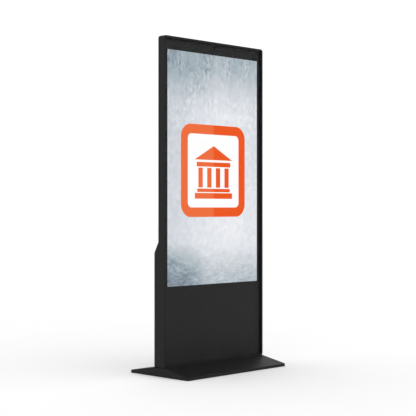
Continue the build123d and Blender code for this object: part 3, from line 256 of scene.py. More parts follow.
mottle = place.noise(30.0, 5.0, (1.0, 1.0, 1.0), 0.65) - 0.5

stain = (0.08 + damp_top * 0.50 + damp_bottom * 0.50 + corner * 0.28
         + left_side * 0.17 + right_side * 0.05 + height.step(0.25, 0.60) * 0.04)
stain = stain + clouds * (0.14 + damp_top * 0.30) + mottle * 0.36 + runs * (0.12 + damp_top * 0.34)
stain = stain + flecks * (0.20 + patches * (damp_top * 1.30 + height.step(0.45, 0.75) * 0.60))
stain = stain + trowel * (0.06 + damp_bottom * 0.70) + trowel_fine * (0.08 + damp_bottom * 1.00)
stain = stain + strokes * corner * 1.00
plaster = stain.ramp((0.0, (0.900, 0.905, 0.930)), (0.17, (0.730, 0.760, 0.807)),
                     (0.33, (0.597, 0.631, 0.672)), (0.5, (0.479, 0.539, 0.584)),
                     (0.67, (0.366, 0.434, 0.479)), (0.83, (0.262, 0.319, 0.376)),
                     (1.0, (0.181, 0.216, 0.258)))


edge_blur = 0.0006


def rounded_box(x, z, half_width, half_height, radius):
    """1 inside a rounded rectangle on the screen and 0 outside."""
    beyond_x = (abs(x) - (half_width - radius)).larger(0.0)
    beyond_z = (abs(z) - (half_height - radius)).larger(0.0)
    beyond = beyond_x * beyond_x + beyond_z * beyond_z
    return beyond.maths("SQRT", beyond).step(radius + edge_blur, radius - edge_blur)


# The sign: a rounded orange frame round a white field with a temple front in orange.
sign_z = z - 1.055
frame_half, frame_corner = 0.243, 0.070
field_half, field_corner = 0.193, 0.026
frame_mask = rounded_box(x, sign_z, frame_half, frame_half, frame_corner)
field = rounded_box(x, sign_z, field_half, field_half, field_corner)

# The temple's lower step, upper step, beam and columns, by how far each is below the sign's middle.
temple_corner = 0.002
temple = rounded_box(x, sign_z + 0.132, 0.142, 0.015, temple_corner)
for drop, half_width, half_height in ((0.103, 0.124, 0.009), (-0.034, 0.128, 0.012)):
    temple = temple.larger(rounded_box(x, sign_z + drop, half_width, half_height, temple_corner))
column_drop, column_half_width, column_half_height = 0.036, 0.0165, 0.052
for column_x in (-0.099, -0.033, 0.033, 0.099):
    temple = temple.larger(rounded_box(x - column_x, sign_z + column_drop, column_half_width,
                                       column_half_height, temple_corner))
roof_slope = 0.52
ridge_height = 0.133
eaves_height = 0.058
roof_edge = 0.0005
roof = (abs(x) * roof_slope + sign_z).step(ridge_height, ridge_height - 2 * roof_edge)
roof = roof * sign_z.step(eaves_height - roof_edge, eaves_height + roof_edge)
temple = temple.larger(roof)
orange = x.step(-edge_blur, edge_blur).mix((0.865, 0.150, 0.040), (0.845, 0.090, 0.008))
sign = field.mix(orange, temple.mix((1.0, 1.0, 1.0), orange))
frame_mask.mix(plaster, sign).feed(shader, "Emission Color")
paint(screen, "lcd_cell")


# ---------------------------------------------------------------------------------------
# Camera above the screen: a moulded black barrel with a groove round it and a domed, coated
# front element. Its circuit board and zinc bracket hold it behind the printed glass.
# ---------------------------------------------------------------------------------------

mm = 0.001
smooth_angle = radians(32.0)


def turned(name, middle, profile, vertices=48):
    """A round piece about an axis along Y: a disc, extruded and resized along (radius, y) steps."""
    bpy.ops.object.select_all(action="DESELECT")
    radius, depth = profile[0]
    bpy.ops.mesh.primitive_circle_add(vertices=vertices, radius=radius, fill_type="NGON",
                                      location=(middle.x, depth, middle.z), rotation=(pi / 2, 0.0, 0.0))
    piece = bpy.context.object
    piece.name = name
    bpy.ops.object.transform_apply(location=True, rotation=True, scale=True)
    bpy.ops.object.mode_set(mode="EDIT")
    bpy.ops.mesh.select_all(action="SELECT")
    for next_radius, next_depth in profile[1:]:
        bpy.ops.mesh.extrude_region_move(TRANSFORM_OT_translate={"value": (0.0, next_depth - depth, 0.0)})
        scale = next_radius / radius
        bpy.ops.transform.resize(value=(scale, 1.0, scale), center_override=(middle.x, next_depth, middle.z))
        radius, depth = next_radius, next_depth
    bpy.ops.mesh.select_all(action="SELECT")
    bpy.ops.mesh.normals_make_consistent(inside=False)
    bpy.ops.object.mode_set(mode="OBJECT")
    bpy.ops.object.shade_smooth_by_angle(angle=smooth_angle)
    return piece


def fit(piece, material, slot, body, *replaced):
    """Finishes a new piece, fixes it to its body and hides the nodes that it stands for."""
    piece.data.materials.clear()
    piece.data.materials.append(material)
    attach(piece, body)
    if replaced:
        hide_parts(*replaced)


plastic, shader, place = new_finish("black_moulding", {"Specular IOR Level": 0.35})
place.noise(60.0, 3.0).mix((0.010, 0.010, 0.011), (0.016, 0.016, 0.017)).feed(shader, "Base Color")
place.noise(500.0, 3.0).step(0.3, 0.7, 0.42, 0.58).feed(shader, "Roughness")
place.noise(2200.0, 2.0).bump(0.00005, 0.6).feed(shader, "Normal")

lens_black, shader, place = new_finish("lens_black", {"Specular IOR Level": 0.05})
place.noise(300.0, 2.0).mix((0.0015, 0.0015, 0.0015), (0.0030, 0.0030, 0.0030)).feed(shader, "Base Color")
place.noise(900.0, 2.0).step(0.3, 0.7, 0.5, 0.65).feed(shader, "Roughness")

coated_glass, shader, place = new_finish("coated_lens", {"Specular IOR Level": 0.12})
place.noise(300.0, 2.0).mix((0.001, 0.001, 0.003), (0.003, 0.002, 0.006)).feed(shader, "Base Color")
place.noise(300.0, 2.0).step(0.3, 0.7, 0.05, 0.1).feed(shader, "Roughness")

lens_low, lens_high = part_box("camera_lens")
lens_middle = (lens_low + lens_high) / 2
lens_radius = (lens_high.x - lens_low.x) / 2
lip = 2.1 * mm
front, back = lens_low.y, lens_high.y
camera_barrel = turned("camera_barrel", lens_middle, [
    (lens_radius, back), (lens_radius, back - 4.0 * mm), (lens_radius - 0.6 * mm, back - 4.4 * mm),
    (lens_radius - 0.6 * mm, back - 5.4 * mm), (lens_radius, back - 5.8 * mm),
    (lens_radius, front + 0.5 * mm), (lens_radius - 0.4 * mm, front), (lens_radius - 1.2 * mm, front),
    (lens_radius - 1.4 * mm, front + 0.5 * mm), (lens_radius - 2.0 * mm, front + 0.8 * mm),
    (lens_radius - 2.4 * mm, front + 2.6 * mm)])
fit(camera_barrel, lens_black, "black_plastic", "kiosk", "camera_lens")
element_radius = lens_radius - lip
camera_element = turned("camera_element", lens_middle, [
    (element_radius, front + 2.4 * mm), (element_radius, front + 1.6 * mm),
    (element_radius * 0.86, front + 1.15 * mm), (element_radius * 0.62, front + 0.8 * mm),
    (element_radius * 0.34, front + 0.6 * mm), (element_radius * 0.05, front + 0.55 * mm)])
fit(camera_element, coated_glass, "black_plastic", "kiosk")


# ---------------------------------------------------------------------------------------
# Front glass: 4 mm toughened glass with an etched, coated face against glare. A black ceramic
# print fired on its back frames the screen, and the touch sensor is bonded in the window.
# ---------------------------------------------------------------------------------------

def select_faces(piece, wanted):
    """Opens a piece for editing with the faces selected whose centre and normal are wanted."""
    bpy.ops.object.mode_set(mode="EDIT")
    bpy.ops.mesh.select_mode(type="FACE")
    bpy.ops.mesh.select_all(action="DESELECT")
    mesh = bmesh.from_edit_mesh(piece.data)
    for face in mesh.faces:
        face.select_set(wanted(face.calc_center_median(), face.normal))
    bmesh.update_edit_mesh(piece.data)


coated, shader, place = new_finish("etched_glass", {"Specular IOR Level": 0.0})
etch = place.noise(1200.0, 2.0)
etch.mix((0.010, 0.012, 0.011), (0.020, 0.024, 0.022)).feed(shader, "Base Color")
facing = place.node("ShaderNodeLayerWeight", {}, {"Blend": 0.5}, "Facing")
(facing * facing * 0.05 + etch * 0.004 + 0.002).feed(shader, "Alpha")
etch.step(0.2, 0.8, 0.16, 0.24).feed(shader, "Roughness")
paint(coated, "front_glass")

lattice_pitch = 0.005
sensor, shader, place = new_finish("sensor_glass", {"Specular IOR Level": 0.0})
lattice_x = place.axis("X") / lattice_pitch
lattice_z = place.axis("Z") / lattice_pitch
line_start = 0.44
lines_x = abs(lattice_x.maths("FRACT", lattice_x) - 0.5).step(line_start, 0.5)
lines_z = abs(lattice_z.maths("FRACT", lattice_z) - 0.5).step(line_start, 0.5)
lattice = lines_x.larger(lines_z)
lattice.mix((0.05, 0.06, 0.06), (0.16, 0.17, 0.17)).feed(shader, "Base Color")
(lattice * 0.006 + 0.002).feed(shader, "Alpha")
lattice.step(0.0, 1.0, 0.2, 0.4).feed(shader, "Roughness")
paint(sensor, "touch_sensor")

ceramic, shader, place = new_finish("ceramic_print", {"Specular IOR Level": 0.14})
place.noise(500.0, 3.0).mix((0.0115, 0.0115, 0.0116), (0.0135, 0.0135, 0.0137)).feed(shader, "Base Color")
place.noise(60.0, 3.0).step(0.2, 0.8, 0.42, 0.55).feed(shader, "Roughness")

# The print is a copy of its solid, thinned from the front so that its face clears the glass.
print_gap = 0.1 * mm
weld_distance = 0.001 * mm
print_layer = bpy.data.objects.new("print_layer", nodes["glass_print"].data.copy())
bpy.context.scene.collection.objects.link(print_layer)
bpy.ops.object.select_all(action="DESELECT")
print_layer.select_set(True)
bpy.context.view_layer.objects.active = print_layer
bpy.ops.object.mode_set(mode="EDIT")
bpy.ops.mesh.select_all(action="SELECT")
bpy.ops.mesh.remove_doubles(threshold=weld_distance)
bpy.ops.object.mode_set(mode="OBJECT")
select_faces(print_layer, lambda centre, normal: normal.y < -0.9)
bpy.ops.transform.translate(value=(0.0, print_gap, 0.0))
bpy.ops.object.mode_set(mode="OBJECT")
fit(print_layer, ceramic, "black_print", "kiosk", "glass_print")


# ---------------------------------------------------------------------------------------
# Painted steel skin: base cover, slab frame, rear cover, rear housing, door and hinge leaves.
# Folded sheet and welded edges, sprayed with a fine-grained satin black powder coat.
# ---------------------------------------------------------------------------------------

powder, shader, place = new_finish("powder_coat", {"Specular IOR Level": 0.12})
speck = place.noise(1600.0, 2.0)
orange_peel = place.noise(260.0, 2.0)
tone = place.noise(2.5, 3.0) * 0.6 + speck * 0.4
tone.mix((0.0100, 0.0100, 0.0103), (0.0145, 0.0145, 0.0149)).feed(shader, "Base Color")
(speck * 0.7 + place.noise(7.0, 3.0) * 0.3).step(0.3, 0.7, 0.44, 0.56).feed(shader, "Roughness")
(speck * 0.8 + orange_peel * 0.2).bump(0.00003, 0.35).feed(shader, "Normal")
paint(powder, "base_cover", "outer_frame", "rear_cover", "rear_housing", "service_door", "door_seat",
      "hinge_fixed_leaves", "hinge_moving_leaves")


# ---------------------------------------------------------------------------------------
# Socket screws of the rear cover and the housing: M4 button heads in blackened steel.
# ---------------------------------------------------------------------------------------

black_oxide, shader, place = new_finish("black_oxide", {"Metallic": 1.0})
place.noise(400.0, 3.0).mix((0.020, 0.020, 0.022), (0.050, 0.049, 0.048)).feed(shader, "Base Color")
place.noise(900.0, 3.0).step(0.3, 0.7, 0.3, 0.5).feed(shader, "Roughness")
paint(black_oxide, "rear_cover_screws", "housing_screws")


# ---------------------------------------------------------------------------------------
# Cam lock in the service door: die-cast barrel and plug with a key slot, hexagon nut and
# stamped cam, all nickel-plated.
# ---------------------------------------------------------------------------------------

nickel, shader, place = new_finish("nickel_plate", {"Metallic": 1.0})
brushed = place.noise(300.0, 4.0, (1.0, 6.0, 1.0))
brushed.mix((0.52, 0.51, 0.48), (0.68, 0.67, 0.64)).feed(shader, "Base Color")
brushed.step(0.3, 0.7, 0.16, 0.30).feed(shader, "Roughness")
brushed.bump(0.00003, 0.4).feed(shader, "Normal")
paint(nickel, "lock_barrel", "lock_plug", "lock_nut", "lock_cam")


# ---------------------------------------------------------------------------------------
# Cooling fans behind the two middle grilles: moulded frames, and rotors with seven swept
# blades on a deep hub that turns on a steel shaft.
# ---------------------------------------------------------------------------------------

paint(plastic, "fan_frames")


def round_edges(piece, width, segments=2):
    """Rounds a piece's sharp edges with a bevel, and applies it."""
    bpy.context.view_layer.objects.active = piece
    bevel = piece.modifiers.new("rounding", "BEVEL")
    bevel.width = width
    bevel.segments = segments
    bevel.limit_method = "ANGLE"
    bevel.angle_limit = radians(35.0)
    bpy.ops.object.modifier_apply(modifier=bevel.name)
    bpy.ops.object.shade_smooth_by_angle(angle=smooth_angle)


def join(name, pieces):
    """Joins pieces into one."""
    bpy.ops.object.select_all(action="DESELECT")
    for piece in pieces:
        piece.select_set(True)
    bpy.context.view_layer.objects.active = pieces[0]
    bpy.ops.object.join()
    pieces[0].name = name
    return pieces[0]


def copy_to(piece, name, offset):
    """A copy of a piece with its own mesh, moved by an offset that goes into the mesh."""
    bpy.ops.object.select_all(action="DESELECT")
    piece.select_set(True)
    bpy.context.view_layer.objects.active = piece
    bpy.ops.object.duplicate(linked=False)
    copy = bpy.context.object
    copy.name = name
    copy.location = offset
    bpy.ops.object.transform_apply(location=True, rotation=False, scale=False)
    return copy


def round_the_axis(piece, middle, count):
    """Copies a piece round an axis along Y, and joins the copies."""
    copies = [piece]
    for place in range(1, count):
        copies.append(copy_to(piece, piece.name, (0.0, 0.0, 0.0)))
        bpy.ops.object.mode_set(mode="EDIT")
        bpy.ops.mesh.select_all(action="SELECT")
        bpy.ops.transform.rotate(value=place * 2 * pi / count, orient_axis="Y", center_override=middle)
        bpy.ops.object.mode_set(mode="OBJECT")
    return join(piece.name, copies)


def bend(piece, method, angle):
    """Bends or twists a piece about its upright axis, and applies it."""
    deform = piece.modifiers.new(method, "SIMPLE_DEFORM")
    deform.deform_method = method
    deform.deform_axis = "Z"
    deform.angle = angle
    bpy.context.view_layer.objects.active = piece
    bpy.ops.object.modifier_apply(modifier=deform.name)


blade_count = 7
hub_radius = 12.0 * mm
blade_tip = 26.2 * mm
blade_chord = 13.5 * mm
blade_sheet = 1.1 * mm
blade_camber = radians(38.0)
blade_twist = radians(-20.0)
blade_pitch = radians(36.0)
blade_root_depth = 0.8 * mm
fan_half_width = 30.0 * mm
rotor_set_back = 2.8 * mm


def fan_rotor(name, middle, low_y, high_y):
    """A rotor: a domed hub and swept, twisted blades."""
    hub = turned(name, middle, [(hub_radius, low_y), (hub_radius, high_y - 1.2 * mm),
                                (hub_radius - 0.5 * mm, high_y - 0.4 * mm),
                                (hub_radius - 1.4 * mm, high_y), (hub_radius - 4.0 * mm, high_y),
                                (hub_radius - 4.2 * mm, high_y - 0.3 * mm), (0.5 * mm, high_y - 0.3 * mm)])
    length = blade_tip - hub_radius + blade_root_depth
    bpy.ops.object.select_all(action="DESELECT")
    bpy.ops.mesh.primitive_cube_add(size=1.0)
    blade = bpy.context.object
    blade.name = "blade"
    blade.scale = (blade_chord, blade_sheet, length)
    bpy.ops.object.transform_apply(location=False, rotation=False, scale=True)
    bpy.ops.object.mode_set(mode="EDIT")
    bpy.ops.mesh.select_all(action="SELECT")
    bpy.ops.mesh.subdivide(number_cuts=6)
    bpy.ops.object.mode_set(mode="OBJECT")
    bend(blade, "BEND", blade_camber)
    bend(blade, "TWIST", blade_twist)
    blade.rotation_euler = (0.0, 0.0, blade_pitch)
    blade.location = (middle.x, (low_y + high_y) / 2, middle.z + blade_tip - length / 2)
    bpy.ops.object.transform_apply(location=True, rotation=True, scale=True)
    round_edges(blade, 0.3 * mm, 1)
    blades = round_the_axis(blade, middle, blade_count)
    return join(name, [hub, blades])


for side in ("left", "right"):
    low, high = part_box(f"{side}_fan_rotor")
    frame_low, frame_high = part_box("fan_frames")
    middle = Vector(((low.x + high.x) / 2, 0.0, (frame_low.z + frame_high.z) / 2))
    middle.x = (frame_high.x - fan_half_width) * (1 if side == "right" else -1)
    rotor = fan_rotor(f"{side}_fan_blades", middle, low.y + rotor_set_back, high.y)
    fit(rotor, plastic, "black_plastic", f"{side}_fan", f"{side}_fan_rotor")


# ---------------------------------------------------------------------------------------
# Loudspeakers behind the outer grilles: a pressed steel basket and magnet, a coated paper
# cone with a dust cap, and a half-round rubber surround.
# ---------------------------------------------------------------------------------------

paper, shader, place = new_finish("coated_paper", {"Specular IOR Level": 0.2})
fibre = place.noise(500.0, 5.0, (1.0, 1.0, 1.0), 0.7)
fibre.mix((0.010, 0.010, 0.010), (0.030, 0.029, 0.028)).feed(shader, "Base Color")
fibre.step(0.3, 0.7, 0.7, 0.9).feed(shader, "Roughness")
fibre.bump(0.0002, 0.6).feed(shader, "Normal")

for side in ("left", "right"):
    low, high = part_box(f"{side}_speaker")
    middle = (low + high) / 2
    radius = (high.x - low.x) / 2
    mouth, rear = high.y, low.y
    basket = turned(f"{side}_speaker_basket", middle, [
        (radius * 0.30, rear + 1.0 * mm), (radius * 0.32, rear + 0.2 * mm),
        (radius * 0.5, rear + 0.2 * mm), (radius * 0.53, rear + 1.0 * mm),
        (radius * 0.53, rear + 8.0 * mm), (radius * 0.58, rear + 9.0 * mm),
        (radius * 0.88, mouth - 2.2 * mm), (radius * 0.99, mouth - 1.8 * mm),
        (radius * 0.99, mouth - 0.2 * mm), (radius * 0.97, mouth), (radius * 0.90, mouth),
        (radius * 0.885, mouth - 0.8 * mm), (radius * 0.82, mouth - 2.0 * mm),
        (radius * 0.4, mouth - 9.5 * mm)])
    fit(basket, black_oxide, "speaker_paper", "kiosk", f"{side}_speaker")
    cone = turned(f"{side}_speaker_cone", middle, [
        (radius * 0.76, mouth - 2.6 * mm), (radius * 0.76, mouth - 2.2 * mm),
        (radius * 0.70, mouth - 3.2 * mm), (radius * 0.52, mouth - 5.2 * mm),
        (radius * 0.34, mouth - 7.2 * mm), (radius * 0.30, mouth - 7.2 * mm),
        (radius * 0.27, mouth - 6.2 * mm), (radius * 0.20, mouth - 5.1 * mm),
        (radius * 0.10, mouth - 4.4 * mm), (radius * 0.02, mouth - 4.2 * mm)])
    fit(cone, paper, "speaker_paper", "kiosk")
    surround = turned(f"{side}_speaker_surround", middle, [
        (radius * 0.89, mouth - 2.0 * mm), (radius * 0.89, mouth - 1.2 * mm),
        (radius * 0.87, mouth - 0.6 * mm), (radius * 0.84, mouth - 0.25 * mm),
        (radius * 0.81, mouth - 0.25 * mm), (radius * 0.78, mouth - 0.7 * mm),
        (radius * 0.76, mouth - 1.5 * mm), (radius * 0.74, mouth - 2.2 * mm),
        (radius * 0.72, mouth - 2.8 * mm)])
    fit(surround, rubber, "speaker_paper", "kiosk")


# ---------------------------------------------------------------------------------------
# Connection plate: a mains inlet with three nickel-plated pins, a rocker switch and a shielded
# network socket with eight gilt contacts, snapped into a zinc-plated plate.
# ---------------------------------------------------------------------------------------

def block(name, middle, size, edge=0.0003, segments=2):
    """A block with its edges rounded."""
    bpy.ops.object.select_all(action="DESELECT")
    bpy.ops.mesh.primitive_cube_add(size=1.0, location=middle)
    piece = bpy.context.object
    piece.name = name
    piece.scale = size
    bpy.ops.object.transform_apply(location=True, rotation=True, scale=True)
    if edge > 0.0:
        round_edges(piece, edge, segments)
    return piece


def in_row(piece, count, step):
    """Repeats a piece in a row at an equal step, from its own place on."""
    array = piece.modifiers.new("row", "ARRAY")
    array.count = count
    array.use_relative_offset = False
    array.use_constant_offset = True
    array.constant_offset_displace = step
    bpy.context.view_layer.objects.active = piece
    bpy.ops.object.modifier_apply(modifier=array.name)
    return piece


paint(plastic, "power_switch", "switch_rocker")

inlet_flange = 4.5 * mm
inlet_depth = 17.0 * mm
inlet_shoulder = 3.2 * mm
inlet_edge = 0.5 * mm
low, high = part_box("power_inlet")
middle = (low + high) / 2
plate_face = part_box("port_plate")[1].y
flange = block("inlet_body", Vector((middle.x, (plate_face + high.y) / 2, middle.z)),
               (high.x - low.x, high.y - plate_face, high.z - low.z), 0.0)
select_faces(flange, lambda centre, normal: normal.y > 0.9)
bpy.ops.mesh.inset(thickness=inlet_flange)
bpy.ops.mesh.extrude_region_move(TRANSFORM_OT_translate={"value": (0.0, -inlet_depth, 0.0)})
select_faces(flange, lambda centre, normal: normal.y < -0.9 and centre.y > plate_face - 1.0 * mm)
bpy.ops.mesh.inset(thickness=inlet_shoulder)
bpy.ops.mesh.extrude_region_move(TRANSFORM_OT_translate={"value": (0.0, low.y - plate_face, 0.0)})
bpy.ops.object.mode_set(mode="OBJECT")
round_edges(flange, inlet_edge, 3)
fit(flange, plastic, "black_plastic", "kiosk", "power_inlet")

pin_size = (2.0 * mm, 13.0 * mm, 4.0 * mm)
pin_spacing = 14.0 * mm
pin_y = high.y - inlet_depth + pin_size[1] / 2
earth_pin = block("earth_pin", Vector((middle.x, pin_y, middle.z + 2.0 * mm)), pin_size, 0.5 * mm, 2)
line_pins = copy_to(earth_pin, "line_pins", (-pin_spacing / 2, -1.0 * mm, -4.0 * mm))
in_row(line_pins, 2, (pin_spacing, 0.0, 0.0))
inlet_pins = join("inlet_pins", [earth_pin, line_pins])
fit(inlet_pins, nickel, "plated_metal", "kiosk")

low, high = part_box("network_socket")
middle = (low + high) / 2
shield_sheet = 1.2 * mm
shield_depth = 17.5 * mm
shield = block("network_shield", middle, high - low, 0.0)
select_faces(shield, lambda centre, normal: normal.y > 0.9)
bpy.ops.mesh.inset(thickness=shield_sheet)
bpy.ops.mesh.extrude_region_move(TRANSFORM_OT_translate={"value": (0.0, -shield_depth, 0.0)})
bpy.ops.object.mode_set(mode="OBJECT")
round_edges(shield, 0.3 * mm, 2)
fit(shield, nickel, "plated_metal", "kiosk", "network_socket")

insert_rim = 2.4 * mm
insert_depth = 12.0 * mm
insert_shoulder = 0.8 * mm
insert_length = 13.0 * mm
insert_size = (high.x - low.x - 2 * shield_sheet, 2.6 * mm, high.z - low.z - 2 * shield_sheet)
insert = block("network_insert", Vector((middle.x, high.y - 1.7 * mm, middle.z)), insert_size, 0.0)
select_faces(insert, lambda centre, normal: normal.y > 0.9)
bpy.ops.mesh.inset(thickness=insert_rim)
bpy.ops.mesh.extrude_region_move(TRANSFORM_OT_translate={"value": (0.0, -insert_depth, 0.0)})
select_faces(insert, lambda centre, normal: normal.y < -0.9 and centre.y > high.y - 4.0 * mm)
bpy.ops.mesh.inset(thickness=insert_shoulder)
bpy.ops.mesh.extrude_region_move(TRANSFORM_OT_translate={"value": (0.0, -insert_length, 0.0)})
bpy.ops.object.mode_set(mode="OBJECT")
round_edges(insert, 0.2 * mm, 2)
fit(insert, plastic, "black_plastic", "kiosk")

gilt, shader, place = new_finish("gilt_contact", {"Metallic": 1.0})
place.noise(900.0, 2.0).mix((0.72, 0.47, 0.16), (0.84, 0.58, 0.22)).feed(shader, "Base Color")
place.noise(500.0, 2.0).step(0.3, 0.7, 0.2, 0.32).feed(shader, "Roughness")
contact_count = 8
contact_pitch = 1.02 * mm
contact_size = (0.45 * mm, 9.0 * mm, 0.4 * mm)
first_contact = Vector((middle.x - (contact_count - 1) / 2 * contact_pitch, high.y - 7.0 * mm,
                        middle.z + 2.4 * mm))
contacts = block("network_contacts", first_contact, contact_size, 0.1 * mm, 1)
in_row(contacts, contact_count, (contact_pitch, 0.0, 0.0))
fit(contacts, gilt, "plated_metal", "kiosk")


# ---------------------------------------------------------------------------------------
# Circuit boards: display board, touch controller and camera board. Green laminate with black
# chips on tinned leads, white headers, can and ceramic capacitors, screwed to standoffs.
# ---------------------------------------------------------------------------------------

laminate, shader, place = new_finish("board_laminate", {"Coat Weight": 0.3, "Coat Roughness": 0.2})
track_pitch = 1.4 * mm
cell_size = 11.0 * mm
column = place.axis("X") / cell_size
row = place.axis("Z") / cell_size
cell = column.node("ShaderNodeCombineXYZ", {},
                   {"X": column.maths("FLOOR", column), "Y": row.maths("FLOOR", row)})
chance = cell.node("ShaderNodeTexWhiteNoise", {"noise_dimensions": "2D"}, {"Vector": cell})
track_x = place.axis("X") / track_pitch
track_z = place.axis("Z") / track_pitch
upright_tracks = abs(track_x.maths("FRACT", track_x) - 0.5).step(0.30, 0.24)
level_tracks = abs(track_z.maths("FRACT", track_z) - 0.5).step(0.30, 0.24)
turned_cell = chance.step(0.49, 0.51)
tracks = upright_tracks * turned_cell + level_tracks * (1 - turned_cell)
vias = place.node("ShaderNodeTexVoronoi", {}, {"Vector": place, "Scale": 190.0}).step(0.16, 0.12)
mask_colour = tracks.mix((0.008, 0.070, 0.030), (0.015, 0.125, 0.050))
vias.mix(mask_colour, (0.55, 0.50, 0.40)).feed(shader, "Base Color")
vias.step(0.0, 1.0, 0.35, 0.25).feed(shader, "Roughness")
(tracks + vias).bump(0.00004, 0.6).feed(shader, "Normal")

epoxy, shader, place = new_finish("chip_epoxy", {"Specular IOR Level": 0.35})
place.noise(900.0, 3.0).mix((0.012, 0.012, 0.013), (0.022, 0.022, 0.023)).feed(shader, "Base Color")
place.noise(1500.0, 2.0).step(0.3, 0.7, 0.5, 0.65).feed(shader, "Roughness")

nylon, shader, place = new_finish("white_nylon", {"Specular IOR Level": 0.4})
place.noise(200.0, 3.0).mix((0.60, 0.58, 0.52), (0.70, 0.68, 0.62)).feed(shader, "Base Color")
place.noise(700.0, 3.0).step(0.3, 0.7, 0.4, 0.55).feed(shader, "Roughness")

ceramic_body, shader, place = new_finish("capacitor_ceramic", {"Specular IOR Level": 0.4})
place.noise(700.0, 2.0).mix((0.30, 0.22, 0.14), (0.38, 0.29, 0.19)).feed(shader, "Base Color")
place.noise(1200.0, 2.0).step(0.3, 0.7, 0.45, 0.6).feed(shader, "Roughness")


def header(middle, size, ways):
    """A white shrouded header, an open box, and its row of square pins."""
    shroud = block("header", middle, size, 0.0)
    select_faces(shroud, lambda centre, normal: normal.y > 0.9)
    bpy.ops.mesh.inset(thickness=1.0 * mm)
    bpy.ops.mesh.extrude_region_move(TRANSFORM_OT_translate={"value": (0.0, -0.7 * size[1], 0.0)})
    bpy.ops.object.mode_set(mode="OBJECT")
    round_edges(shroud, 0.15 * mm, 1)
    pitch = (size[2] - 4.0 * mm) / ways
    pin = block("header_pins", middle - Vector((0.0, 0.0, (ways - 1) / 2 * pitch)),
                (0.64 * mm, size[1] * 0.9, 0.64 * mm), 0.1 * mm, 1)
    return shroud, in_row(pin, ways, (0.0, 0.0, pitch))


lead_pitch = 1.27 * mm


def chip(middle, size, height):
    """A square chip, and its tinned leads on four sides."""
    body = block("chip", middle, (size, height, size), 0.25 * mm, 2)
    count = int(size / lead_pitch)
    pitch = size * 0.86 / (count - 1)
    lead = block("leads", middle + Vector((-size * 0.43, 0.25 * mm - height / 2, size / 2 + 0.5 * mm)),
                 (0.4 * mm, 0.3 * mm, 1.6 * mm), 0.08 * mm, 1)
    leads = round_the_axis(in_row(lead, count, (pitch, 0.0, 0.0)), middle, 4)
    return body, leads


board_sheet = 1.6 * mm
screw_inset = 8.0 * mm
chip_height = 1.8 * mm
can_count = 4
can_pitch = 9.0 * mm
small_part_count = 6
small_part_pitch = 3.2 * mm

for node, chip_size, ways in (("display_board", 24.0 * mm, 12), ("touch_controller", 14.0 * mm, 6)):
    low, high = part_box(node)
    board_face = low.y + board_sheet
    middle = Vector(((low.x + high.x) / 2, board_face, (low.z + high.z) / 2))
    width, height = high.x - low.x, high.z - low.z
    board = block(f"{node}_laminate", middle - Vector((0.0, board_sheet / 2, 0.0)),
                  (width, board_sheet, height), 0.2 * mm, 1)
    fit(board, laminate, "circuit_board", "kiosk", node)

    bodies, metal = [], []
    for chip_x, chip_z, size in ((-12.0 * mm, 0.0, chip_size),
                                 (-width * 0.24, height * 0.27, chip_size * 0.5),
                                 (width * 0.14, -height * 0.28, chip_size * 0.45)):
        body, leads = chip(middle + Vector((chip_x, chip_height / 2 + 0.1 * mm, chip_z)), size, chip_height)
        bodies.append(body)
        metal.append(leads)
    shroud, pins = header(middle + Vector((width / 2 - 14.0 * mm, 2.9 * mm, 0.0)),
                          (8.0 * mm, 5.8 * mm, height * 0.55), ways)
    can_place = middle + Vector((-width * 0.28, 0.0, 9.0 * mm - height / 2))
    can = turned("cans", can_place, [
        (3.0 * mm, board_face), (3.0 * mm, board_face + 1.0 * mm), (2.8 * mm, board_face + 1.3 * mm),
        (3.0 * mm, board_face + 1.6 * mm), (3.0 * mm, board_face + 5.2 * mm),
        (2.8 * mm, board_face + 5.6 * mm), (2.2 * mm, board_face + 5.7 * mm),
        (2.1 * mm, board_face + 5.5 * mm), (0.3 * mm, board_face + 5.5 * mm)], 24)
    in_row(can, can_count, (can_pitch, 0.0, 0.0))
    screw_place = middle + Vector((screw_inset - width / 2, 0.0, screw_inset - height / 2))
    screw = turned("screws", screw_place, [
        (2.7 * mm, board_face), (2.7 * mm, board_face + 0.9 * mm), (2.2 * mm, board_face + 1.5 * mm),
        (1.3 * mm, board_face + 1.7 * mm), (1.2 * mm, board_face + 0.8 * mm),
        (0.2 * mm, board_face + 0.8 * mm)], 24)
    in_row(screw, 2, (width - 2 * screw_inset, 0.0, 0.0))
    in_row(screw, 2, (0.0, 0.0, height - 2 * screw_inset))
    small_part = block(f"{node}_capacitors", middle + Vector((width * 0.10, 0.6 * mm, height * 0.10)),
                       (1.3 * mm, 1.2 * mm, 2.4 * mm), 0.15 * mm, 1)
    in_row(small_part, small_part_count, (small_part_pitch, 0.0, 0.0))
    fit(small_part, ceramic_body, "button_plastic", "kiosk")
    fit(join(f"{node}_chips", bodies), epoxy, "black_plastic", "kiosk")
    fit(join(f"{node}_header", [shroud]), nylon, "button_plastic", "kiosk")
    fit(join(f"{node}_metal", metal + [pins, can, screw]), nickel, "plated_metal", "kiosk")

low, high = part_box("camera_board")
board = block("camera_laminate", (low + high) / 2, high - low, 0.2 * mm, 1)
fit(board, laminate, "circuit_board", "kiosk", "camera_board")


# ---------------------------------------------------------------------------------------
# Equipment on the plate behind the door: media player in finned, anodised aluminium with its
# start button, power supply in a perforated zinc case, terminal block and mains filter.
# ---------------------------------------------------------------------------------------

anodised, shader, place = new_finish("anodised_aluminium", {"Metallic": 1.0})
drawn = place.noise(7.0, 4.0, (1.0, 1.0, 60.0))
drawn.mix((0.075, 0.077, 0.080), (0.115, 0.117, 0.120)).feed(shader, "Base Color")
drawn.step(0.3, 0.7, 0.34, 0.5).feed(shader, "Roughness")
place.noise(2500.0, 2.0).bump(0.00003, 0.5).feed(shader, "Normal")
paint(anodised, "media_player")

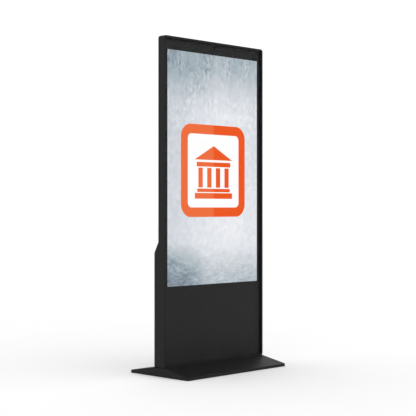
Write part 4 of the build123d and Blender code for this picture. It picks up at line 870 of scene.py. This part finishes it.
filter_can, shader, place = new_finish("filter_can", {"Metallic": 1.0})
place.noise(30.0, 4.0).mix((0.48, 0.48, 0.47), (0.60, 0.60, 0.59)).feed(shader, "Base Color")
place.noise(200.0, 4.0).step(0.3, 0.7, 0.25, 0.4).feed(shader, "Roughness")
paint(filter_can, "line_filter")

low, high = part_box("power_supply")
galvanised, shader, place = new_finish("perforated_case", {})
spangle = place.node("ShaderNodeTexVoronoi", {}, {"Vector": place, "Scale": 110.0}, "Color")
spangle_tone = spangle.node("ShaderNodeSeparateColor", {}, {"Color": spangle})
# A band 1 to 2.6 mm behind the perforated face is painted near-black and not metallic: painted shade for the
# dark inside of the case seen through the holes.
behind_face = place.axis("Y").step(high.y - 0.8 * mm, high.y - 1.0 * mm)
inside = behind_face * place.axis("Y").step(high.y - 3.0 * mm, high.y - 2.6 * mm)
zinc_crystals = spangle_tone.mix((0.40, 0.41, 0.43), (0.56, 0.57, 0.58))
inside.mix(zinc_crystals, (0.01, 0.01, 0.01)).feed(shader, "Base Color")
(1 - inside).feed(shader, "Metallic")
spangle_tone.step(0.0, 1.0, 0.30, 0.45).feed(shader, "Roughness")
paint(galvanised, "power_supply")

paint(plastic, "terminal_block")
low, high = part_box("terminal_block")
terminal_count = 7
terminal_pitch = (high.z - low.z) / terminal_count
first = Vector(((low.x + high.x) / 2, 0.0, low.z + terminal_pitch / 2))
head = turned("terminal_screws", first, [
    (2.6 * mm, high.y - 6.0 * mm), (2.6 * mm, high.y - 4.4 * mm), (2.2 * mm, high.y - 4.0 * mm),
    (0.3 * mm, high.y - 3.9 * mm)], 24)
slot_place = first + Vector((0.0, high.y - 3.85 * mm, 0.0))
blade_slot = block("slot", slot_place, (4.0 * mm, 0.15 * mm, 0.7 * mm), 0.0)
terminal_screws = join("terminal_screws", [head, blade_slot])
in_row(terminal_screws, terminal_count, (0.0, 0.0, terminal_pitch))
fit(terminal_screws, nickel, "plated_metal", "kiosk")

grey_plastic, shader, place = new_finish("grey_button", {"Specular IOR Level": 0.4})
place.noise(400.0, 3.0).mix((0.40, 0.40, 0.42), (0.50, 0.50, 0.52)).feed(shader, "Base Color")
place.noise(900.0, 3.0).step(0.3, 0.7, 0.35, 0.5).feed(shader, "Roughness")
paint(grey_plastic, "player_button")


# ---------------------------------------------------------------------------------------
# Studio: a large pale floor under an even white sky, and a level camera at waist height to
# the front left. None of it is part of the kiosk.
# ---------------------------------------------------------------------------------------

floor_size = 80.0
floor_drop = 0.0005
sky_strength = 1.06
camera_place = (-4.2587, -4.1576, 0.859)
camera_turn = radians(-45.61)
focal_length = 96.65
sensor_width = 36.0

bpy.ops.object.select_all(action="DESELECT")
bpy.ops.mesh.primitive_plane_add(size=floor_size, location=(0.0, 0.0, -floor_drop))
floor = bpy.context.object
floor.name = "studio_floor"
bpy.ops.object.transform_apply(location=True, rotation=True, scale=True)
floor_paint, shader, place = new_finish("floor_paint", {"Specular IOR Level": 0.1})
place.noise(2.0, 2.0).mix((0.945, 0.945, 0.945), (0.960, 0.960, 0.960)).feed(shader, "Base Color")
place.noise(30.0, 2.0).step(0.0, 1.0, 0.75, 0.85).feed(shader, "Roughness")
floor.data.materials.append(floor_paint)

world = bpy.data.worlds.new("studio_sky")
bpy.context.scene.world = world
world.use_nodes = True
sky = world.node_tree.nodes["Background"]
sky.inputs["Color"].default_value = (1.0, 1.0, 1.0, 1.0)
sky.inputs["Strength"].default_value = sky_strength

bpy.ops.object.camera_add(location=camera_place, rotation=(pi / 2, 0.0, camera_turn))
camera = bpy.context.object
camera.data.lens = focal_length
camera.data.sensor_width = sensor_width
bpy.context.scene.camera = camera
